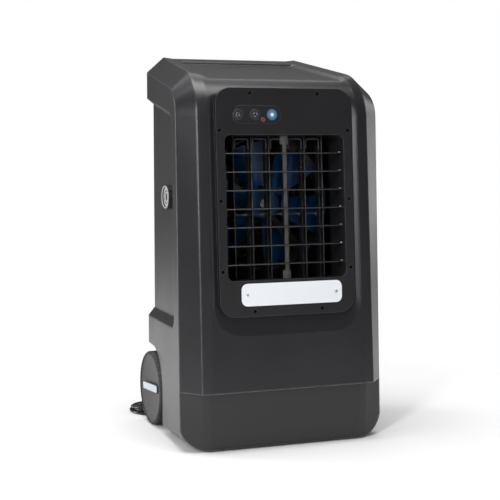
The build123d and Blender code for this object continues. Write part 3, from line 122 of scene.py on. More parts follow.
# %% World
AIR_LIGHT = 0.16                   # what the white surroundings add to the lamps
AIR_SEEN = 1.0

world = bpy.data.worlds.new("studio_air")
bpy.context.scene.world = world
world.use_nodes = True
air = world.node_tree
background = air.nodes["Background"]
background.inputs["Color"].default_value = (1, 1, 1, 1)
path = air.nodes.new("ShaderNodeLightPath")
seen = air.nodes.new("ShaderNodeMapRange")
seen.inputs["To Min"].default_value = AIR_LIGHT
seen.inputs["To Max"].default_value = AIR_SEEN
air.links.new(path.outputs["Is Camera Ray"], seen.inputs["Value"])
air.links.new(seen.outputs[0], background.inputs["Strength"])
print("world", world.name)

# %% [markdown]
# ## Lamps
# Dark glossy plastic shows its shape by what it reflects, so the lamps are soft boxes: large, and
# placed where each one draws a band along an edge. Two hang above, one stands at each side, and a
# narrow strip at the front left picks out the front corner.

# %% Lamps
def soft_box(name, place, target, width, height, watts):
    """A rectangular studio light that faces a point."""
    lamp = bpy.data.lights.new(name, "AREA")
    lamp.shape = "RECTANGLE"
    lamp.size = width
    lamp.size_y = height
    lamp.energy = watts
    made = bpy.data.objects.new(name, lamp)
    bpy.context.collection.objects.link(made)
    made.location = place
    made.rotation_euler = (Vector(target) - Vector(place)).to_track_quat("-Z", "Y").to_euler()
    return made


LAMPS = (                          # name, place, aimed at, width, height, watts
    ("left_box", (-3.0, 2.1, 0.9), (0, 0, 0.4), 1.0, 1.8, 52),
    ("top_box", (0.1, 1.3, 2.9), (0, 0, 0.7), 2.6, 1.6, 18),
    ("paper_box", (-0.3, -0.4, 3.6), (0, 0, 0.0), 3.0, 1.6, 105),
    ("front_strip", (-2.1, -2.5, 1.5), (0, 0, 0.55), 0.35, 1.6, 62),
    ("right_box", (2.6, 0.6, 0.9), (0, 0, 0.5), 0.5, 2.0, 11),
)
for settings in LAMPS:
    soft_box(*settings)

view = bpy.context.scene.view_settings
view.view_transform = "Standard"
view.look = "None"

# %% [markdown]
# ## Small helpers for materials
# Every finish below is a Principled shader fed by a few nodes. These helpers only save typing:
# one adds a node and fills in its sockets, another joins two sockets.

# %% Node helpers
def add_node(tree, kind, **values):
    """Adds a node and sets its sockets: a value, or another node's socket to link from."""
    made = tree.nodes.new(kind)
    for name, value in values.items():
        socket = made.inputs[name.replace("_", " ")]
        if isinstance(value, bpy.types.NodeSocket):
            tree.links.new(value, socket)
        else:
            socket.default_value = value
    return made


def math_node(tree, operation, first, second):
    """A maths node on two sockets or numbers."""
    made = tree.nodes.new("ShaderNodeMath")
    made.operation = operation
    for place, value in enumerate((first, second)):
        if isinstance(value, bpy.types.NodeSocket):
            tree.links.new(value, made.inputs[place])
        else:
            made.inputs[place].default_value = value
    return made.outputs[0]


def mix_colours(tree, amount, first, second):
    """Blends two colours by a mask."""
    made = tree.nodes.new("ShaderNodeMix")
    made.data_type = "RGBA"
    for place, value in ((0, amount), (6, first), (7, second)):
        if isinstance(value, bpy.types.NodeSocket):
            tree.links.new(value, made.inputs[place])
        elif place == 0:
            made.inputs[0].default_value = value
        else:
            made.inputs[place].default_value = (*value, 1)
    return made.outputs[2]


def remap(tree, value, low, high, out_low, out_high):
    """Maps a range of values to another and clamps it."""
    made = add_node(tree, "ShaderNodeMapRange", Value=value)
    for name, number in (("From Min", low), ("From Max", high), ("To Min", out_low),
                         ("To Max", out_high)):
        made.inputs[name].default_value = number
    return made.outputs[0]


def object_place(tree):
    """Where a point is on its own piece, in metres: every pattern below is laid out on it."""
    return tree.nodes.new("ShaderNodeTexCoord").outputs["Object"]


def new_material(name):
    """A new material, with its node tree and its Principled shader."""
    made = bpy.data.materials.new(name)
    made.use_nodes = True
    return made, made.node_tree, made.node_tree.nodes["Principled BSDF"]


print("node helpers ready")

# %% [markdown]
# ## Shared effects
# Moulded plastic shows three things at once: a fine grain from the mould, slow changes in gloss
# where it has been handled, and a painted highlight that makes its edges paler. Each is a node
# group, made once.

# %% Node groups
def new_group(name, inputs, outputs):
    """An empty shader group with named number sockets."""
    tree = bpy.data.node_groups.new(name, "ShaderNodeTree")
    for title, value in inputs:
        socket = tree.interface.new_socket(title, in_out="INPUT", socket_type="NodeSocketFloat")
        socket.default_value = value
    for title in outputs:
        tree.interface.new_socket(title, in_out="OUTPUT", socket_type="NodeSocketFloat")
    return tree, tree.nodes.new("NodeGroupInput"), tree.nodes.new("NodeGroupOutput")


grain, grain_in, grain_out = new_group("mould_grain", [("Fineness", 900.0), ("Cloud size", 5.0)],
                                       ["Height", "Clouds"])
pebbles = add_node(grain, "ShaderNodeTexVoronoi", Vector=object_place(grain),
                   Scale=grain_in.outputs["Fineness"])
specks = add_node(grain, "ShaderNodeTexNoise", Vector=object_place(grain),
                  Scale=grain_in.outputs["Fineness"], Detail=2.0)
grain.links.new(math_node(grain, "ADD", pebbles.outputs["Distance"], specks.outputs["Fac"]),
                grain_out.inputs["Height"])
clouds = add_node(grain, "ShaderNodeTexNoise", Vector=object_place(grain),
                  Scale=grain_in.outputs["Cloud size"], Detail=5.0, Roughness=0.6)
grain.links.new(clouds.outputs["Fac"], grain_out.inputs["Clouds"])

# painted highlight: a paler colour along every edge, where a rounded edge would catch the light
highlight_group, highlight_in, highlight_out = new_group("painted_edge_highlight", [("Radius", 0.002), ("Breakup", 60.0)],
                                          ["Edge"])
softened = add_node(highlight_group, "ShaderNodeBevel", Radius=highlight_in.outputs["Radius"])
softened.samples = 6
flat = highlight_group.nodes.new("ShaderNodeNewGeometry")
agree = highlight_group.nodes.new("ShaderNodeVectorMath")
agree.operation = "DOT_PRODUCT"
highlight_group.links.new(softened.outputs[0], agree.inputs[0])
highlight_group.links.new(flat.outputs["Normal"], agree.inputs[1])
patchy = add_node(highlight_group, "ShaderNodeTexNoise", Vector=object_place(highlight_group),
                  Scale=highlight_in.outputs["Breakup"], Detail=3.0)
# an edge is where the softened normal turns away from the flat one; this mask places the painted
# highlight
edge = remap(highlight_group, agree.outputs["Value"], 0.995, 0.9, 0.0, 1.0)
highlight_group.links.new(math_node(highlight_group, "MULTIPLY", edge,
                           remap(highlight_group, patchy.outputs["Fac"], 0.3, 0.6, 0.35, 1.0)),
                 highlight_out.inputs["Edge"])

dust, dust_in, dust_out = new_group("settled_dust", [("Size", 30.0)], ["Dust"])
lie = dust.nodes.new("ShaderNodeNewGeometry")
facing = add_node(dust, "ShaderNodeSeparateXYZ", Vector=lie.outputs["Normal"])
drift = add_node(dust, "ShaderNodeTexNoise", Vector=object_place(dust),
                 Scale=dust_in.outputs["Size"], Detail=6.0, Roughness=0.7)
dust.links.new(math_node(dust, "MULTIPLY", remap(dust, facing.outputs["Z"], 0.5, 1.0, 0.0, 1.0),
                         remap(dust, drift.outputs["Fac"], 0.4, 0.7, 0.1, 1.0)),
               dust_out.inputs["Dust"])
print("shared effects", [g.name for g in bpy.data.node_groups])

# %% [markdown]
# ## Moulded plastics
# One function makes every plastic on the cooler, from the dull charcoal cabinet to the shiny
# black louvre, because they differ only in colour, gloss, grain, dust and the painted highlight on
# their edges.

# %% Plastic finishes
DUST_COLOUR = (0.42, 0.40, 0.37)


def use_group(tree, group, **values):
    """Places a shared effect in a material, with its own values."""
    made = tree.nodes.new("ShaderNodeGroup")
    made.node_tree = group
    for name, value in values.items():
        made.inputs[name.replace("_", " ")].default_value = value
    return made


def plastic(name, colour, roughness, grain_height=0.00006, fineness=900.0, highlight_colour=None,
            highlight_radius=0.002, clouding=0.12, dusty=0.0, coat=0.0, specular=0.5, rounding=0.0008):
    """Moulded plastic: cloudy colour and gloss, a painted highlight on the edges, rounded edges,
    dust and fine grain.
    """
    made, tree, shader = new_material(name)
    skin = use_group(tree, grain, Fineness=fineness)
    edge_highlight = use_group(tree, highlight_group, Radius=highlight_radius)
    cloudy = remap(tree, skin.outputs["Clouds"], 0.3, 0.7, 0.0, 1.0)
    dark = [c * (1 - clouding) for c in colour]
    light = [min(1, c * (1 + clouding)) for c in colour]
    base = mix_colours(tree, cloudy, dark, light)
    # painted highlight: the edges take a paler colour
    highlight_colour = highlight_colour or [min(1, c * 1.9 + 0.02) for c in colour]
    base = mix_colours(tree, edge_highlight.outputs["Edge"], base, highlight_colour)
    if dusty:
        lying = use_group(tree, dust)
        amount = math_node(tree, "MULTIPLY", lying.outputs["Dust"], dusty)
        base = mix_colours(tree, amount, base, DUST_COLOUR)
    tree.links.new(base, shader.inputs["Base Color"])
    tree.links.new(remap(tree, skin.outputs["Clouds"], 0.3, 0.7, roughness * 0.9,
                         min(1, roughness * 1.1)), shader.inputs["Roughness"])
    shader.inputs["Specular IOR Level"].default_value = specular
    shader.inputs["Coat Weight"].default_value = coat
    shader.inputs["Coat Roughness"].default_value = 0.2
    eased = add_node(tree, "ShaderNodeBevel", Radius=rounding)
    eased.samples = 8
    bump = add_node(tree, "ShaderNodeBump", Height=skin.outputs["Height"],
                    Normal=eased.outputs[0], Strength=0.5)
    bump.inputs["Distance"].default_value = grain_height
    tree.links.new(bump.outputs[0], shader.inputs["Normal"])
    return made


# the cabinet's pale edge colour is a painted highlight along its creases
cabinet_plastic = plastic("cabinet_plastic", (0.0125, 0.0120, 0.0142), 0.31, dusty=0.03,
                          highlight_radius=0.005, highlight_colour=(0.120, 0.120, 0.128), rounding=0.008)
panel_plastic = plastic("panel_plastic", (0.0100, 0.0096, 0.0112), 0.36, rounding=0.0015)
louvre_plastic = plastic("louvre_plastic", (0.012, 0.012, 0.013), 0.22, grain_height=0.00001,
                         highlight_colour=(0.10, 0.10, 0.10), highlight_radius=0.001)
inner_plastic = plastic("inner_plastic", (0.014, 0.014, 0.016), 0.45)
link_plastic = plastic("link_plastic", (0.11, 0.11, 0.112), 0.28)
fan_plastic = plastic("fan_plastic", (0.001, 0.042, 0.135), 0.32, grain_height=0.00002,
                      highlight_colour=(0.004, 0.10, 0.30))
wheel_plastic = plastic("wheel_plastic", (0.022, 0.022, 0.023), 0.45)
collar_plastic = plastic("collar_plastic", (0.012, 0.012, 0.013), 0.3)
control_plastic = plastic("control_plastic", (0.013, 0.013, 0.015), 0.34)
button_plastic = plastic("button_plastic", (0.020, 0.020, 0.023), 0.35)
white_plastic = plastic("white_plastic", (0.42, 0.42, 0.43), 0.35, clouding=0.04,
                        highlight_colour=(0.5, 0.5, 0.5))
plate_plastic = plastic("plate_plastic", (0.78, 0.81, 0.85), 0.35, clouding=0.004,
                        highlight_colour=(0.92, 0.94, 0.96), grain_height=0.00001)
badge_plastic = plastic("badge_plastic", (0.50, 0.56, 0.62), 0.35, clouding=0.05,
                        highlight_colour=(0.55, 0.6, 0.66), grain_height=0.00001)
foot_rubber = plastic("foot_rubber", (0.02, 0.02, 0.021), 0.75)
tyre_rubber = plastic("tyre_rubber", (0.018, 0.018, 0.019), 0.62, grain_height=0.0001,
                      fineness=500.0, dusty=0.2)
cord_rubber = plastic("cord_rubber", (0.010, 0.010, 0.011), 0.28, coat=0.3)
hose_rubber = plastic("hose_rubber", (0.03, 0.03, 0.032), 0.5)
board_green = plastic("board_green", (0.01, 0.10, 0.04), 0.4)
lens_red = plastic("lens_red", (0.35, 0.03, 0.015), 0.15)
print("plastic finishes", len(bpy.data.materials))

# %% [markdown]
# ## Metals
# The screws and axles are turned or stamped steel. Stretched noise gives the fine lines that a
# tool leaves, and the same lines break up the gloss.

# %% Metal finishes
def metal(name, colour, roughness, lines=(400.0, 40.0, 40.0)):
    """Worked metal: noise stretched along one axis drives the gloss and a shallow relief."""
    made, tree, shader = new_material(name)
    stretch = add_node(tree, "ShaderNodeMapping", Vector=object_place(tree))
    stretch.inputs["Scale"].default_value = lines
    scratches = add_node(tree, "ShaderNodeTexNoise", Vector=stretch.outputs[0], Scale=6.0,
                         Detail=4.0)
    dull = [c * 0.75 for c in colour]
    tree.links.new(mix_colours(tree, scratches.outputs["Fac"], dull, colour),
                   shader.inputs["Base Color"])
    tree.links.new(remap(tree, scratches.outputs["Fac"], 0.3, 0.7, roughness * 0.7,
                         roughness * 1.3), shader.inputs["Roughness"])
    shader.inputs["Metallic"].default_value = 1.0
    bump = add_node(tree, "ShaderNodeBump", Height=scratches.outputs["Fac"], Strength=0.3)
    bump.inputs["Distance"].default_value = 0.00005
    tree.links.new(bump.outputs[0], shader.inputs["Normal"])
    return made


steel = metal("axle_steel", (0.55, 0.55, 0.56), 0.35)
black_screw = metal("blackened_screw", (0.012, 0.012, 0.013), 0.4)
rivet_steel = metal("rivet_steel", (0.62, 0.64, 0.67), 0.3)
motor_paint = metal("motor_case", (0.10, 0.10, 0.105), 0.45)
valve_brass = metal("valve_brass", (0.62, 0.45, 0.18), 0.35)
print("finishes with the metals", len(bpy.data.materials))

# %% [markdown]
# ## Which part gets which finish
# The parts from the CAD keep their shapes and only get a material. A table from name to finish is
# easier to read and to change than one line for each part.

# %% Finishes on the CAD nodes
FINISH = {
    "housing": cabinet_plastic, "front_panel": panel_plastic, "panel_screws": black_screw,
    "control_plate": control_plastic, "led_lens": lens_red, "control_box": inner_plastic,
    "circuit_board": board_green, "name_plate": plate_plastic, "plate_rivets": rivet_steel,
    "louvre_frame": inner_plastic, "louvre_tie_bar": link_plastic, "vane_gang_bar": link_plastic,
    "fan": fan_plastic, "motor_shaft": steel, "motor": motor_paint, "fan_shroud": inner_plastic,
    "motor_bracket": inner_plastic, "louvre_post": link_plastic, "rear_grille": panel_plastic,
    "evaporative_pad": inner_plastic, "water_channel": inner_plastic, "pump": inner_plastic,
    "pump_hose": hose_rubber,
    "inlet_neck": white_plastic, "inlet_collar": collar_plastic, "inlet_washer": white_plastic,
    "inlet_pipe": hose_rubber, "float_valve": valve_brass, "float_arm": valve_brass,
    "drain_plug": collar_plastic, "front_foot": foot_rubber, "cord_gland": inner_plastic,
    "strain_relief": cord_rubber, "cord_plug": cord_rubber,
}
for side in ("left", "right"):
    FINISH[f"{side}_tyre"] = tyre_rubber
    FINISH[f"{side}_wheel_disc"] = wheel_plastic
    FINISH[f"{side}_wheel_badge"] = badge_plastic
    FINISH[f"{side}_axle"] = steel
for name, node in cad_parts.items():
    if name.startswith(("louvre_blade", "air_vane")):
        finish = louvre_plastic
    elif name.startswith("button"):
        finish = button_plastic
    else:
        finish = FINISH.get(name, cabinet_plastic)
    node.data.materials.clear()
    node.data.materials.append(finish)
print("nodes with a finish", len(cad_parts))

# %% [markdown]
# ## Surfaces from formulas
# A surface is a grid of points: rows one way, columns the other, and a face between each four
# neighbours. Numpy makes the whole grid from one formula, so no loop runs over the points. A
# closed ring joins its last column back to its first.

# %% Surface tools
LEAN = 0.0716                      # the front face leans back by this much per metre of height
face_normal = np.array((0, -1, LEAN)) / np.hypot(1, LEAN)
face_up = np.array((0, LEAN, 1)) / np.hypot(1, LEAN)


def grid_faces(index):
    """A face between each four neighbours, for the last two axes of an array of point numbers."""
    corners = [index[..., :-1, :-1], index[..., :-1, 1:], index[..., 1:, 1:], index[..., 1:, :-1]]
    return np.stack(corners, axis=-1).reshape(-1, 4)


def surface(name, points, finish, body, close=False, smooth=True):
    """Joins a grid of points (..., rows, columns, 3) into four-sided faces."""
    index = np.arange(points[..., 0].size).reshape(points.shape[:-1])
    if close:
        index = np.concatenate([index, index[..., :1]], axis=-1)
    faces = grid_faces(index)
    mesh = bpy.data.meshes.new(name)
    mesh.from_pydata(points.reshape(-1, 3).tolist(), [], faces.tolist())
    mesh.polygons.foreach_set("use_smooth", np.full(len(faces), smooth))
    mesh.materials.append(finish)
    made = bpy.data.objects.new(name, mesh)
    bpy.context.collection.objects.link(made)
    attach(made, body)
    return made


def turned(name, profile, centre, axis, finish, body, segments=48):
    """Surface of revolution: p = centre + height * axis + radius * (cos t * u + sin t * v)."""
    axis = np.array(axis, float) / np.linalg.norm(axis)
    across = np.cross(axis, (0, 0, 1) if abs(axis[2]) < 0.9 else (1, 0, 0))
    across /= np.linalg.norm(across)
    third = np.cross(axis, across)
    angle = np.linspace(0, 2 * np.pi, segments, endpoint=False)
    radius, height = np.array(profile, float).T
    ring = np.cos(angle)[:, None] * across + np.sin(angle)[:, None] * third
    points = (np.array(centre) + height[:, None, None] * axis + radius[:, None, None] * ring[None])
    return surface(name, points, finish, body, close=True)


def bead(name, start, end, radius, finish, body, sides=10):
    """Round rod with closed ends between two points."""
    start, end = np.array(start, float), np.array(end, float)
    length = np.linalg.norm(end - start)
    profile = [(0, 0), (radius * 0.7, 0), (radius, radius * 0.3), (radius, length - radius * 0.3),
               (radius * 0.7, length), (0, length)]
    return turned(name, profile, start, end - start, finish, body, sides)


def node_middle(name):
    """Middle of a node's box."""
    low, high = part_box(name)
    return (np.array(low) + np.array(high)) / 2


def ribbon(name, centre, flat, width, finish, body):
    """Flat strip on the leaning face along (right, up) points: centre + right * x + up * face_up."""
    flat = np.array(flat, float)
    along = np.gradient(flat, axis=0)
    along /= np.linalg.norm(along, axis=1, keepdims=True)
    side = np.stack([-along[:, 1], along[:, 0]], axis=1) * width / 2
    rails = np.stack([flat - side, flat + side], axis=1)
    points = (np.array(centre) + rails[..., :1] * np.array((1, 0, 0)) + rails[..., 1:] * face_up)
    return surface(name, points, finish, body, smooth=False)


print("surface tools ready, face normal", face_normal.round(3))

# %% [markdown]
# ## Glow
# The third button is lit from behind. Its colour depends on the distance from the button's
# middle: nearly white at the centre, then blue, then the dark cap. A ramp turns distance to colour.

# %% Lit button
HOT_END, WARM_AT, DARK_FROM = 0.12, 0.38, 0.95   # shares of the glow's radius
CAP_HALF = 0.0065                  # from a button's middle to its outer face


def glow(name, centre, radius, hot, warm, dark):
    """Light that fades with distance from a point, over dark plastic."""
    made, tree, shader = new_material(name)
    away = tree.nodes.new("ShaderNodeVectorMath")
    away.operation = "DISTANCE"
    tree.links.new(object_place(tree), away.inputs[0])
    away.inputs[1].default_value = tuple(centre)
    ramp = tree.nodes.new("ShaderNodeValToRGB")
    first, last = ramp.color_ramp.elements
    first.position, first.color = HOT_END, (*hot, 1)
    last.position, last.color = DARK_FROM, (*dark, 1)
    ramp.color_ramp.elements.new(WARM_AT).color = (*warm, 1)
    tree.links.new(math_node(tree, "DIVIDE", away.outputs["Value"], radius),
                   ramp.inputs["Fac"])
    tree.links.new(ramp.outputs["Color"], shader.inputs["Emission Color"])
    shader.inputs["Emission Strength"].default_value = 1.0
    shader.inputs["Base Color"].default_value = (0.03, 0.035, 0.045, 1)
    shader.inputs["Roughness"].default_value = 0.3
    return made


def button_face(number):
    """Middle of a button's outer face: the cap's middle moved out by half its length."""
    return node_middle(f"button_{number}") + face_normal * CAP_HALF


lit = button_face(3)
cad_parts["button_3"].data.materials[0] = glow(
    "lit_cap", lit, 0.0135, (0.75, 0.93, 1.0), (0.07, 0.22, 0.42), (0.010, 0.018, 0.03))
lamp = node_middle("led_lens")
lamp[1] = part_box("led_lens")[0].y
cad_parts["led_lens"].data.materials[0] = glow(
    "dull_lamp", lamp, 0.004, (0.10, 0.012, 0.008), (0.06, 0.008, 0.006), (0.02, 0.004, 0.003))
print("lit button at", lit.round(4))

# %% [markdown]
# ## Marks on the control plate
# Each button has a thin printed rim, and two carry a small generic mark: three bars for the speed
# and three arcs for the swing. Print has no real thickness, so a mark is a flat ribbon that floats
# a hair above the cap and rides on it. A ring stands round the small lamp.

# %% Marks on the control plate
RIM_RADIUS, RIM_WIDTH = 0.0112, 0.0009
MARK_WIDTH, SWING_WIDTH = 0.0012, 0.0014
BAR_START, BAR_END, BAR_STEP = 0.0008, 0.0045, 0.0008
LAMP_RING = [(0.0034, 0), (0.0036, 0.0008), (0.0050, 0.0008), (0.0054, 0)]
LAMP_RING_BACK = 0.0011
pale_mark = plastic("pale_mark", (0.30, 0.30, 0.31), 0.5, grain_height=0.00001)
rim_grey = plastic("rim_grey", (0.05, 0.05, 0.053), 0.35, grain_height=0.00001)
blue_rim = plastic("blue_rim", (0.10, 0.20, 0.30), 0.35, grain_height=0.00001)
red_rim = plastic("red_rim", (0.20, 0.035, 0.02), 0.4, grain_height=0.00001)


def arc(radius, start, end, steps=24):
    """Points of an arc in the face, angles in degrees."""
    angle = np.radians(np.linspace(start, end, steps))
    return np.stack([radius * np.cos(angle), radius * np.sin(angle)], axis=1)


RAISE = 0.00015                    # print floats this far above the cap
marks = []
for number in (1, 2, 3):
    spot = button_face(number) + face_normal * RAISE
    rim = blue_rim if number == 3 else rim_grey
    marks.append(ribbon(f"button_{number}_rim", spot, arc(RIM_RADIUS, 0, 360, 49), RIM_WIDTH, rim,
                        f"button_{number}"))
first_spot = button_face(1) + face_normal * RAISE
for number, height in enumerate((-0.003, 0.0, 0.003)):
    bar = [(BAR_START, height), (BAR_END - BAR_STEP * number, height)]
    marks.append(ribbon(f"speed_bar_{number}", first_spot, bar, MARK_WIDTH, pale_mark, "button_1"))
marks.append(ribbon("speed_arc", first_spot, arc(0.0052, 110, 250), MARK_WIDTH, pale_mark,
                    "button_1"))
second_spot = button_face(2) + face_normal * RAISE
for turn in (100, 220, 340):
    marks.append(ribbon(f"swing_arc_{turn}", second_spot, arc(0.0046, turn, turn + 75),
                        SWING_WIDTH, pale_mark, "button_2"))
turned("lamp_ring", LAMP_RING, lamp + np.array((0, LAMP_RING_BACK, 0)), face_normal, red_rim,
       "cabinet")
print("control marks", len(marks))

# %% [markdown]
# ## Louvre details
# Light catches the louvre on its edges only. A thin rounded strip in a paler grey runs along the
# front of each blade and each vane; its paler grey is a painted highlight. A small bright pin shows
# at each blade's right end. All of them ride on the blade or vane that they belong to.

# %% Blade and vane trim
# painted highlight: the edge strips are a paler grey than the blades and vanes
blade_highlight_grey = plastic("blade_highlight_grey", (0.022, 0.022, 0.023), 0.35, grain_height=0.00001)
vane_highlight_grey = plastic("vane_highlight_grey", (0.045, 0.045, 0.047), 0.4, grain_height=0.00001)
pin_steel = metal("pin_steel", (0.5, 0.5, 0.52), 0.25)
EDGE_RADIUS, EDGE_BACK, EDGE_IN = 0.0013, 0.0012, 0.004   # a blade's strip and its place
PIN_RADIUS, PIN_BACK, PIN_RISE = 0.0016, 0.002, 0.0022
PIN_FROM, PIN_TO = 0.0125, 0.0055  # in from the blade's right end
VANE_EDGE_BACK, VANE_FOOT_IN, VANE_TOP_IN = 0.0008, 0.008, 0.010
VANE_LEAN = 0.99 * LEAN            # a vane's front edge leans a hair less than the face
trim = []
for number in range(1, 8):
    low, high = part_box(f"louvre_blade_{number}")
    level = (low.z + high.z) / 2
    front = low.y + EDGE_BACK
    back, rise = front + PIN_BACK, level + PIN_RISE
    trim.append(bead(f"blade_{number}_edge", (low.x + EDGE_IN, front, level),
                     (high.x - EDGE_IN, front, level), EDGE_RADIUS, blade_highlight_grey, f"blade_{number}"))
    trim.append(bead(f"blade_{number}_pin", (high.x - PIN_FROM, back, rise),
                     (high.x - PIN_TO, back, rise), PIN_RADIUS, pin_steel, f"blade_{number}"))
for number in range(1, 7):
    low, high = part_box(f"air_vane_{number}")
    middle = (low.x + high.x) / 2
    top = (middle, low.y + VANE_LEAN * (high.z - low.z), high.z - VANE_TOP_IN)
    foot = (middle, low.y + VANE_EDGE_BACK, low.z + VANE_FOOT_IN)
    trim.append(bead(f"vane_{number}_edge", foot, top, EDGE_RADIUS, vane_highlight_grey, f"vane_{number}"))
print("louvre trim", len(trim))

# %% [markdown]
# ## Slot arches above the vanes
# Behind the top of the louvre the frame has a row of slots with rounded tops, one between each two
# vanes. Only their pale rims show, so each is a ribbon bent like an arch: up, round two corners,
# and down again.

# %% Slot arches
arch_grey = plastic("arch_grey", (0.055, 0.055, 0.057), 0.4, grain_height=0.00001)
ARCH_TOP = 0.7365                  # height of the rims' upper edge
ARCH_DROP, ARCH_WIDTH, ARCH_CORNER = 0.024, 0.034, 0.005
ARCH_LEFT, ARCH_FORWARD = 0.002, 0.0008
RIM_BAND = 0.0024
half = ARCH_WIDTH / 2
shoulders = [arc(ARCH_CORNER, *turn, 8) + (side * (half - ARCH_CORNER), -ARCH_CORNER)
             for turn, side in (((180, 90), -1), ((90, 0), 1))]
outline = np.concatenate([[(-half, -ARCH_DROP)], *shoulders, [(half, -ARCH_DROP)]])
vane_low, vane_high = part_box("air_vane_1")
arch_front = vane_low.y + LEAN * (vane_high.z - vane_low.z) - ARCH_FORWARD
between = [node_middle(f"air_vane_{number}")[0] for number in range(1, 7)]
for number, (left, right) in enumerate(zip(between, between[1:]), 1):
    ribbon(f"slot_arch_{number}", ((left + right) / 2 - ARCH_LEFT, arch_front, ARCH_TOP), outline,
           RIM_BAND, arch_grey, "cabinet")
print("slot arches", len(between) - 1)

# %% [markdown]
# ## Fan centre and hose inlet
# A bright nut ring holds the fan on its shaft. The hose inlet has a pale worn rim round a black
# mouth, with a seal inside. All three are rings of one oval section, turned round their axis.

# %% Fan nut and inlet rims
bright_ring = metal("bright_ring", (0.85, 0.85, 0.86), 0.2)
rim_plastic = plastic("rim_plastic", (0.42, 0.42, 0.43), 0.4)


def oval(radius, height, wide, deep, steps=13):
    """Section of a ring: (radius + wide * cos t, height + deep * sin t)."""
    angle = np.linspace(0, 2 * np.pi, steps)
    return np.stack([radius + wide * np.cos(angle), height + deep * np.sin(angle)], axis=1)


hub = node_middle("motor_shaft")
hub[1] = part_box("motor_shaft")[0].y
mouth = node_middle("inlet_collar")
mouth[0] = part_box("inlet_collar")[0].x
turned("fan_nut_ring", oval(0.0106, -0.0052, 0.0018, 0.0018), hub, (0, -1, 0), bright_ring,
       "fan_rotor")
turned("inlet_rim", oval(0.0262, 0.0002, 0.0014, 0.0009), mouth, (-1, 0, 0), rim_plastic,
       "hose_collar")
turned("inlet_seal", oval(0.0150, -0.0034, 0.0016, 0.0009), mouth, (-1, 0, 0), collar_plastic,
       "hose_collar")
print("fan nut at", hub.round(4), "inlet mouth at", mouth.round(4))

# %% [markdown]
# ## Tyre tread
# The tyres have a shallow tread. A lathe would give a plain ring, so the radius follows a formula
# instead: it drops in grooves that slant with the distance from the tyre's middle, and stays
# whole on the side walls.

# %% Tyre tread
TREAD_BLOCKS = 44
TREAD_DEPTH = 0.0022
TREAD_SLANT = 260                  # radians of turn for each metre off the middle
GROOVE_STEEPNESS, GROOVE_SHARE = 2.5, 1.2
SHOULDER = 0.007
TYRE_WALL = 0.0088
ACROSS = 13                        # points across the flat of the tread, with its ends


def tyre_surface(side):
    """Ring whose radius drops in the grooves: r = R - depth * groove(angle + slant * |width|)."""
    low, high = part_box(f"{side}_tyre")
    middle = node_middle(f"{side}_tyre")
    outer = (high.z - low.z) / 2
    inner = outer - TYRE_WALL
    half = (high.x - low.x) / 2
    turn = np.linspace(0, np.pi / 2, 5)
    shoulder = np.stack([half - SHOULDER + SHOULDER * np.cos(turn),
                         outer - SHOULDER + SHOULDER * np.sin(turn)], axis=1)
    flat = np.stack([np.linspace(half - SHOULDER, -half + SHOULDER, ACROSS)[1:-1],
                     np.full(ACROSS - 2, outer)], axis=1)
    section = np.concatenate([[(half, inner)], shoulder, flat, shoulder[::-1] * (-1, 1),
                              [(-half, inner), (half, inner)]])
    angle = np.linspace(0, 2 * np.pi, 8 * TREAD_BLOCKS, endpoint=False)
    width, radius = section[:, :1], section[:, 1:]
    wave = np.sin(TREAD_BLOCKS * angle + TREAD_SLANT * np.abs(width))
    groove = np.clip(wave * GROOVE_STEEPNESS - GROOVE_SHARE, 0, 1)
    groove = groove * (radius > outer - SHOULDER * 0.8)
    reach = radius - TREAD_DEPTH * groove
    points = np.stack([middle[0] + width + 0 * angle, middle[1] + reach * np.cos(angle),
                       middle[2] + reach * np.sin(angle)], axis=-1)
    made = surface(f"{side}_tread", points, tyre_rubber, f"{side}_wheel", close=True)
    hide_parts(f"{side}_tyre")
    return made


treads = [tyre_surface("left"), tyre_surface("right")]
print("treads", [len(made.data.polygons) for made in treads])

# %% [markdown]
# ## Corrugated pad
# The pad is a stack of fluted cellulose sheets, glued where their waves cross. Each sheet stands
# upright from front to back, and neighbours slope opposite ways, so the water runs down one set
# of flutes and the air goes through the other.

# %% Pad
SHEETS = 49
WAVE, WAVE_LENGTH = 0.0026, 0.019
SLOPE = 0.6
DEEP_POINTS, TALL_POINTS = 7, 149
paper_brown = plastic("fluted_paper", (0.33, 0.22, 0.12), 0.85, grain_height=0.0002,
                      fineness=350.0, clouding=0.3, specular=0.15)


def fluted_sheets(low, high):
    """x = x_k + wave * sin(2 pi (z +/- slope * y) / length), for every sheet k at once."""
    pitch = (high.x - low.x - 2 * WAVE) / (SHEETS - 1)
    number = np.arange(SHEETS)[:, None, None]
    deep = np.linspace(low.y, high.y, DEEP_POINTS)
    tall = np.linspace(low.z, high.z, TALL_POINTS)[:, None]
    lean = np.where(number % 2 == 0, SLOPE, -SLOPE)
    shift = WAVE * np.sin(2 * np.pi * (tall + lean * (deep - low.y)) / WAVE_LENGTH)
    x = low.x + WAVE + pitch * number + shift
    return np.stack([x, deep + 0 * x, tall + 0 * x], axis=-1)


fluted_pad = surface("fluted_pad", fluted_sheets(*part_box("evaporative_pad")), paper_brown,
                     "pad_cassette")
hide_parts("evaporative_pad")
print("pad faces", len(fluted_pad.data.polygons))

# %% [markdown]
# ## Mains cord
# A cord is one smooth curve of its real length. It leaves the strain relief at the back, drops to
# the floor and runs into a loose coil of two layers: the lower winds inwards, then the cord climbs
# and the upper winds outwards. The last half turn rises over the others to the plug. The turns are
# more points of the same spline, so there is no seam where the coil begins.

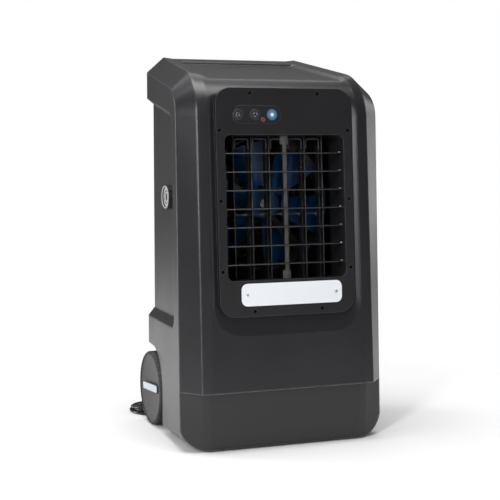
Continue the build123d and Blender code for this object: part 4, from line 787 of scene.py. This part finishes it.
# %% Cord
CORD_RADIUS = 0.0035
COIL_MARGIN = 0.001
ring = node_middle("cord_coil")
OUTER_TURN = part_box("cord_coil")[1].x - ring[0] - CORD_RADIUS - COIL_MARGIN
route = [(-0.060, 0.1955, 0.269), (-0.060, 0.262, 0.269), (-0.061, 0.308, 0.222),
         (-0.062, 0.320, 0.155), (-0.063, 0.318, 0.090), (-0.068, 0.330, 0.040),
         (-0.084, 0.350, 0.010), (-0.122, 0.361, 0.0035), (-0.162, 0.358, 0.0035)]
START, END = np.radians(93.2), np.radians(-30.0)   # where the coil begins and ends
TURNS = 3 + (END - START) % (2 * np.pi) / (2 * np.pi)
STEPS = int(TURNS * 18)
PITCH = 0.0074                     # from one turn to the next, a little over the cord's thickness
HALFWAY = 1.7                      # turns in the lower layer
CLIMB = 0.3                        # turns that the cord takes to reach the upper layer
LAST = 0.5                         # turns in which it leaves the coil for the plug
PLUG_IN, PLUG_RISE = 0.012, 0.0165
turn = np.linspace(0, TURNS, STEPS + 1)
climb = np.clip((turn - HALFWAY) / CLIMB, 0, 1)
leaving = np.clip((turn - TURNS + LAST) / LAST, 0, 1)
radius = OUTER_TURN - PITCH * np.minimum(turn, HALFWAY) - PLUG_IN * leaving
radius += PITCH * np.maximum(0, turn - HALFWAY - CLIMB)
height = CORD_RADIUS * (1 + 2 * climb) + PLUG_RISE * np.minimum(1, 1.3 * leaving)
angle = START + 2 * np.pi * turn
route += np.stack([ring[0] + radius * np.cos(angle), ring[1] + radius * np.sin(angle), height],
                  axis=1).tolist()

line = bpy.data.curves.new("mains_cord", "CURVE")
line.dimensions = "3D"
line.bevel_depth = CORD_RADIUS
line.bevel_resolution = 4
line.resolution_u = 6
spline = line.splines.new("NURBS")
spline.points.add(len(route) - 1)
for point, place in zip(spline.points, route):
    point.co = (*place, 1)
spline.order_u = 3
spline.use_endpoint_u = True
mains_cord = bpy.data.objects.new("mains_cord", line)
bpy.context.collection.objects.link(mains_cord)
line.materials.append(cord_rubber)
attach(mains_cord, "cabinet")
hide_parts("power_cord", "cord_coil")
runs = np.diff(np.array(route), axis=0)
print("cord points", len(route), "runs added up", np.linalg.norm(runs, axis=1).sum().round(3))
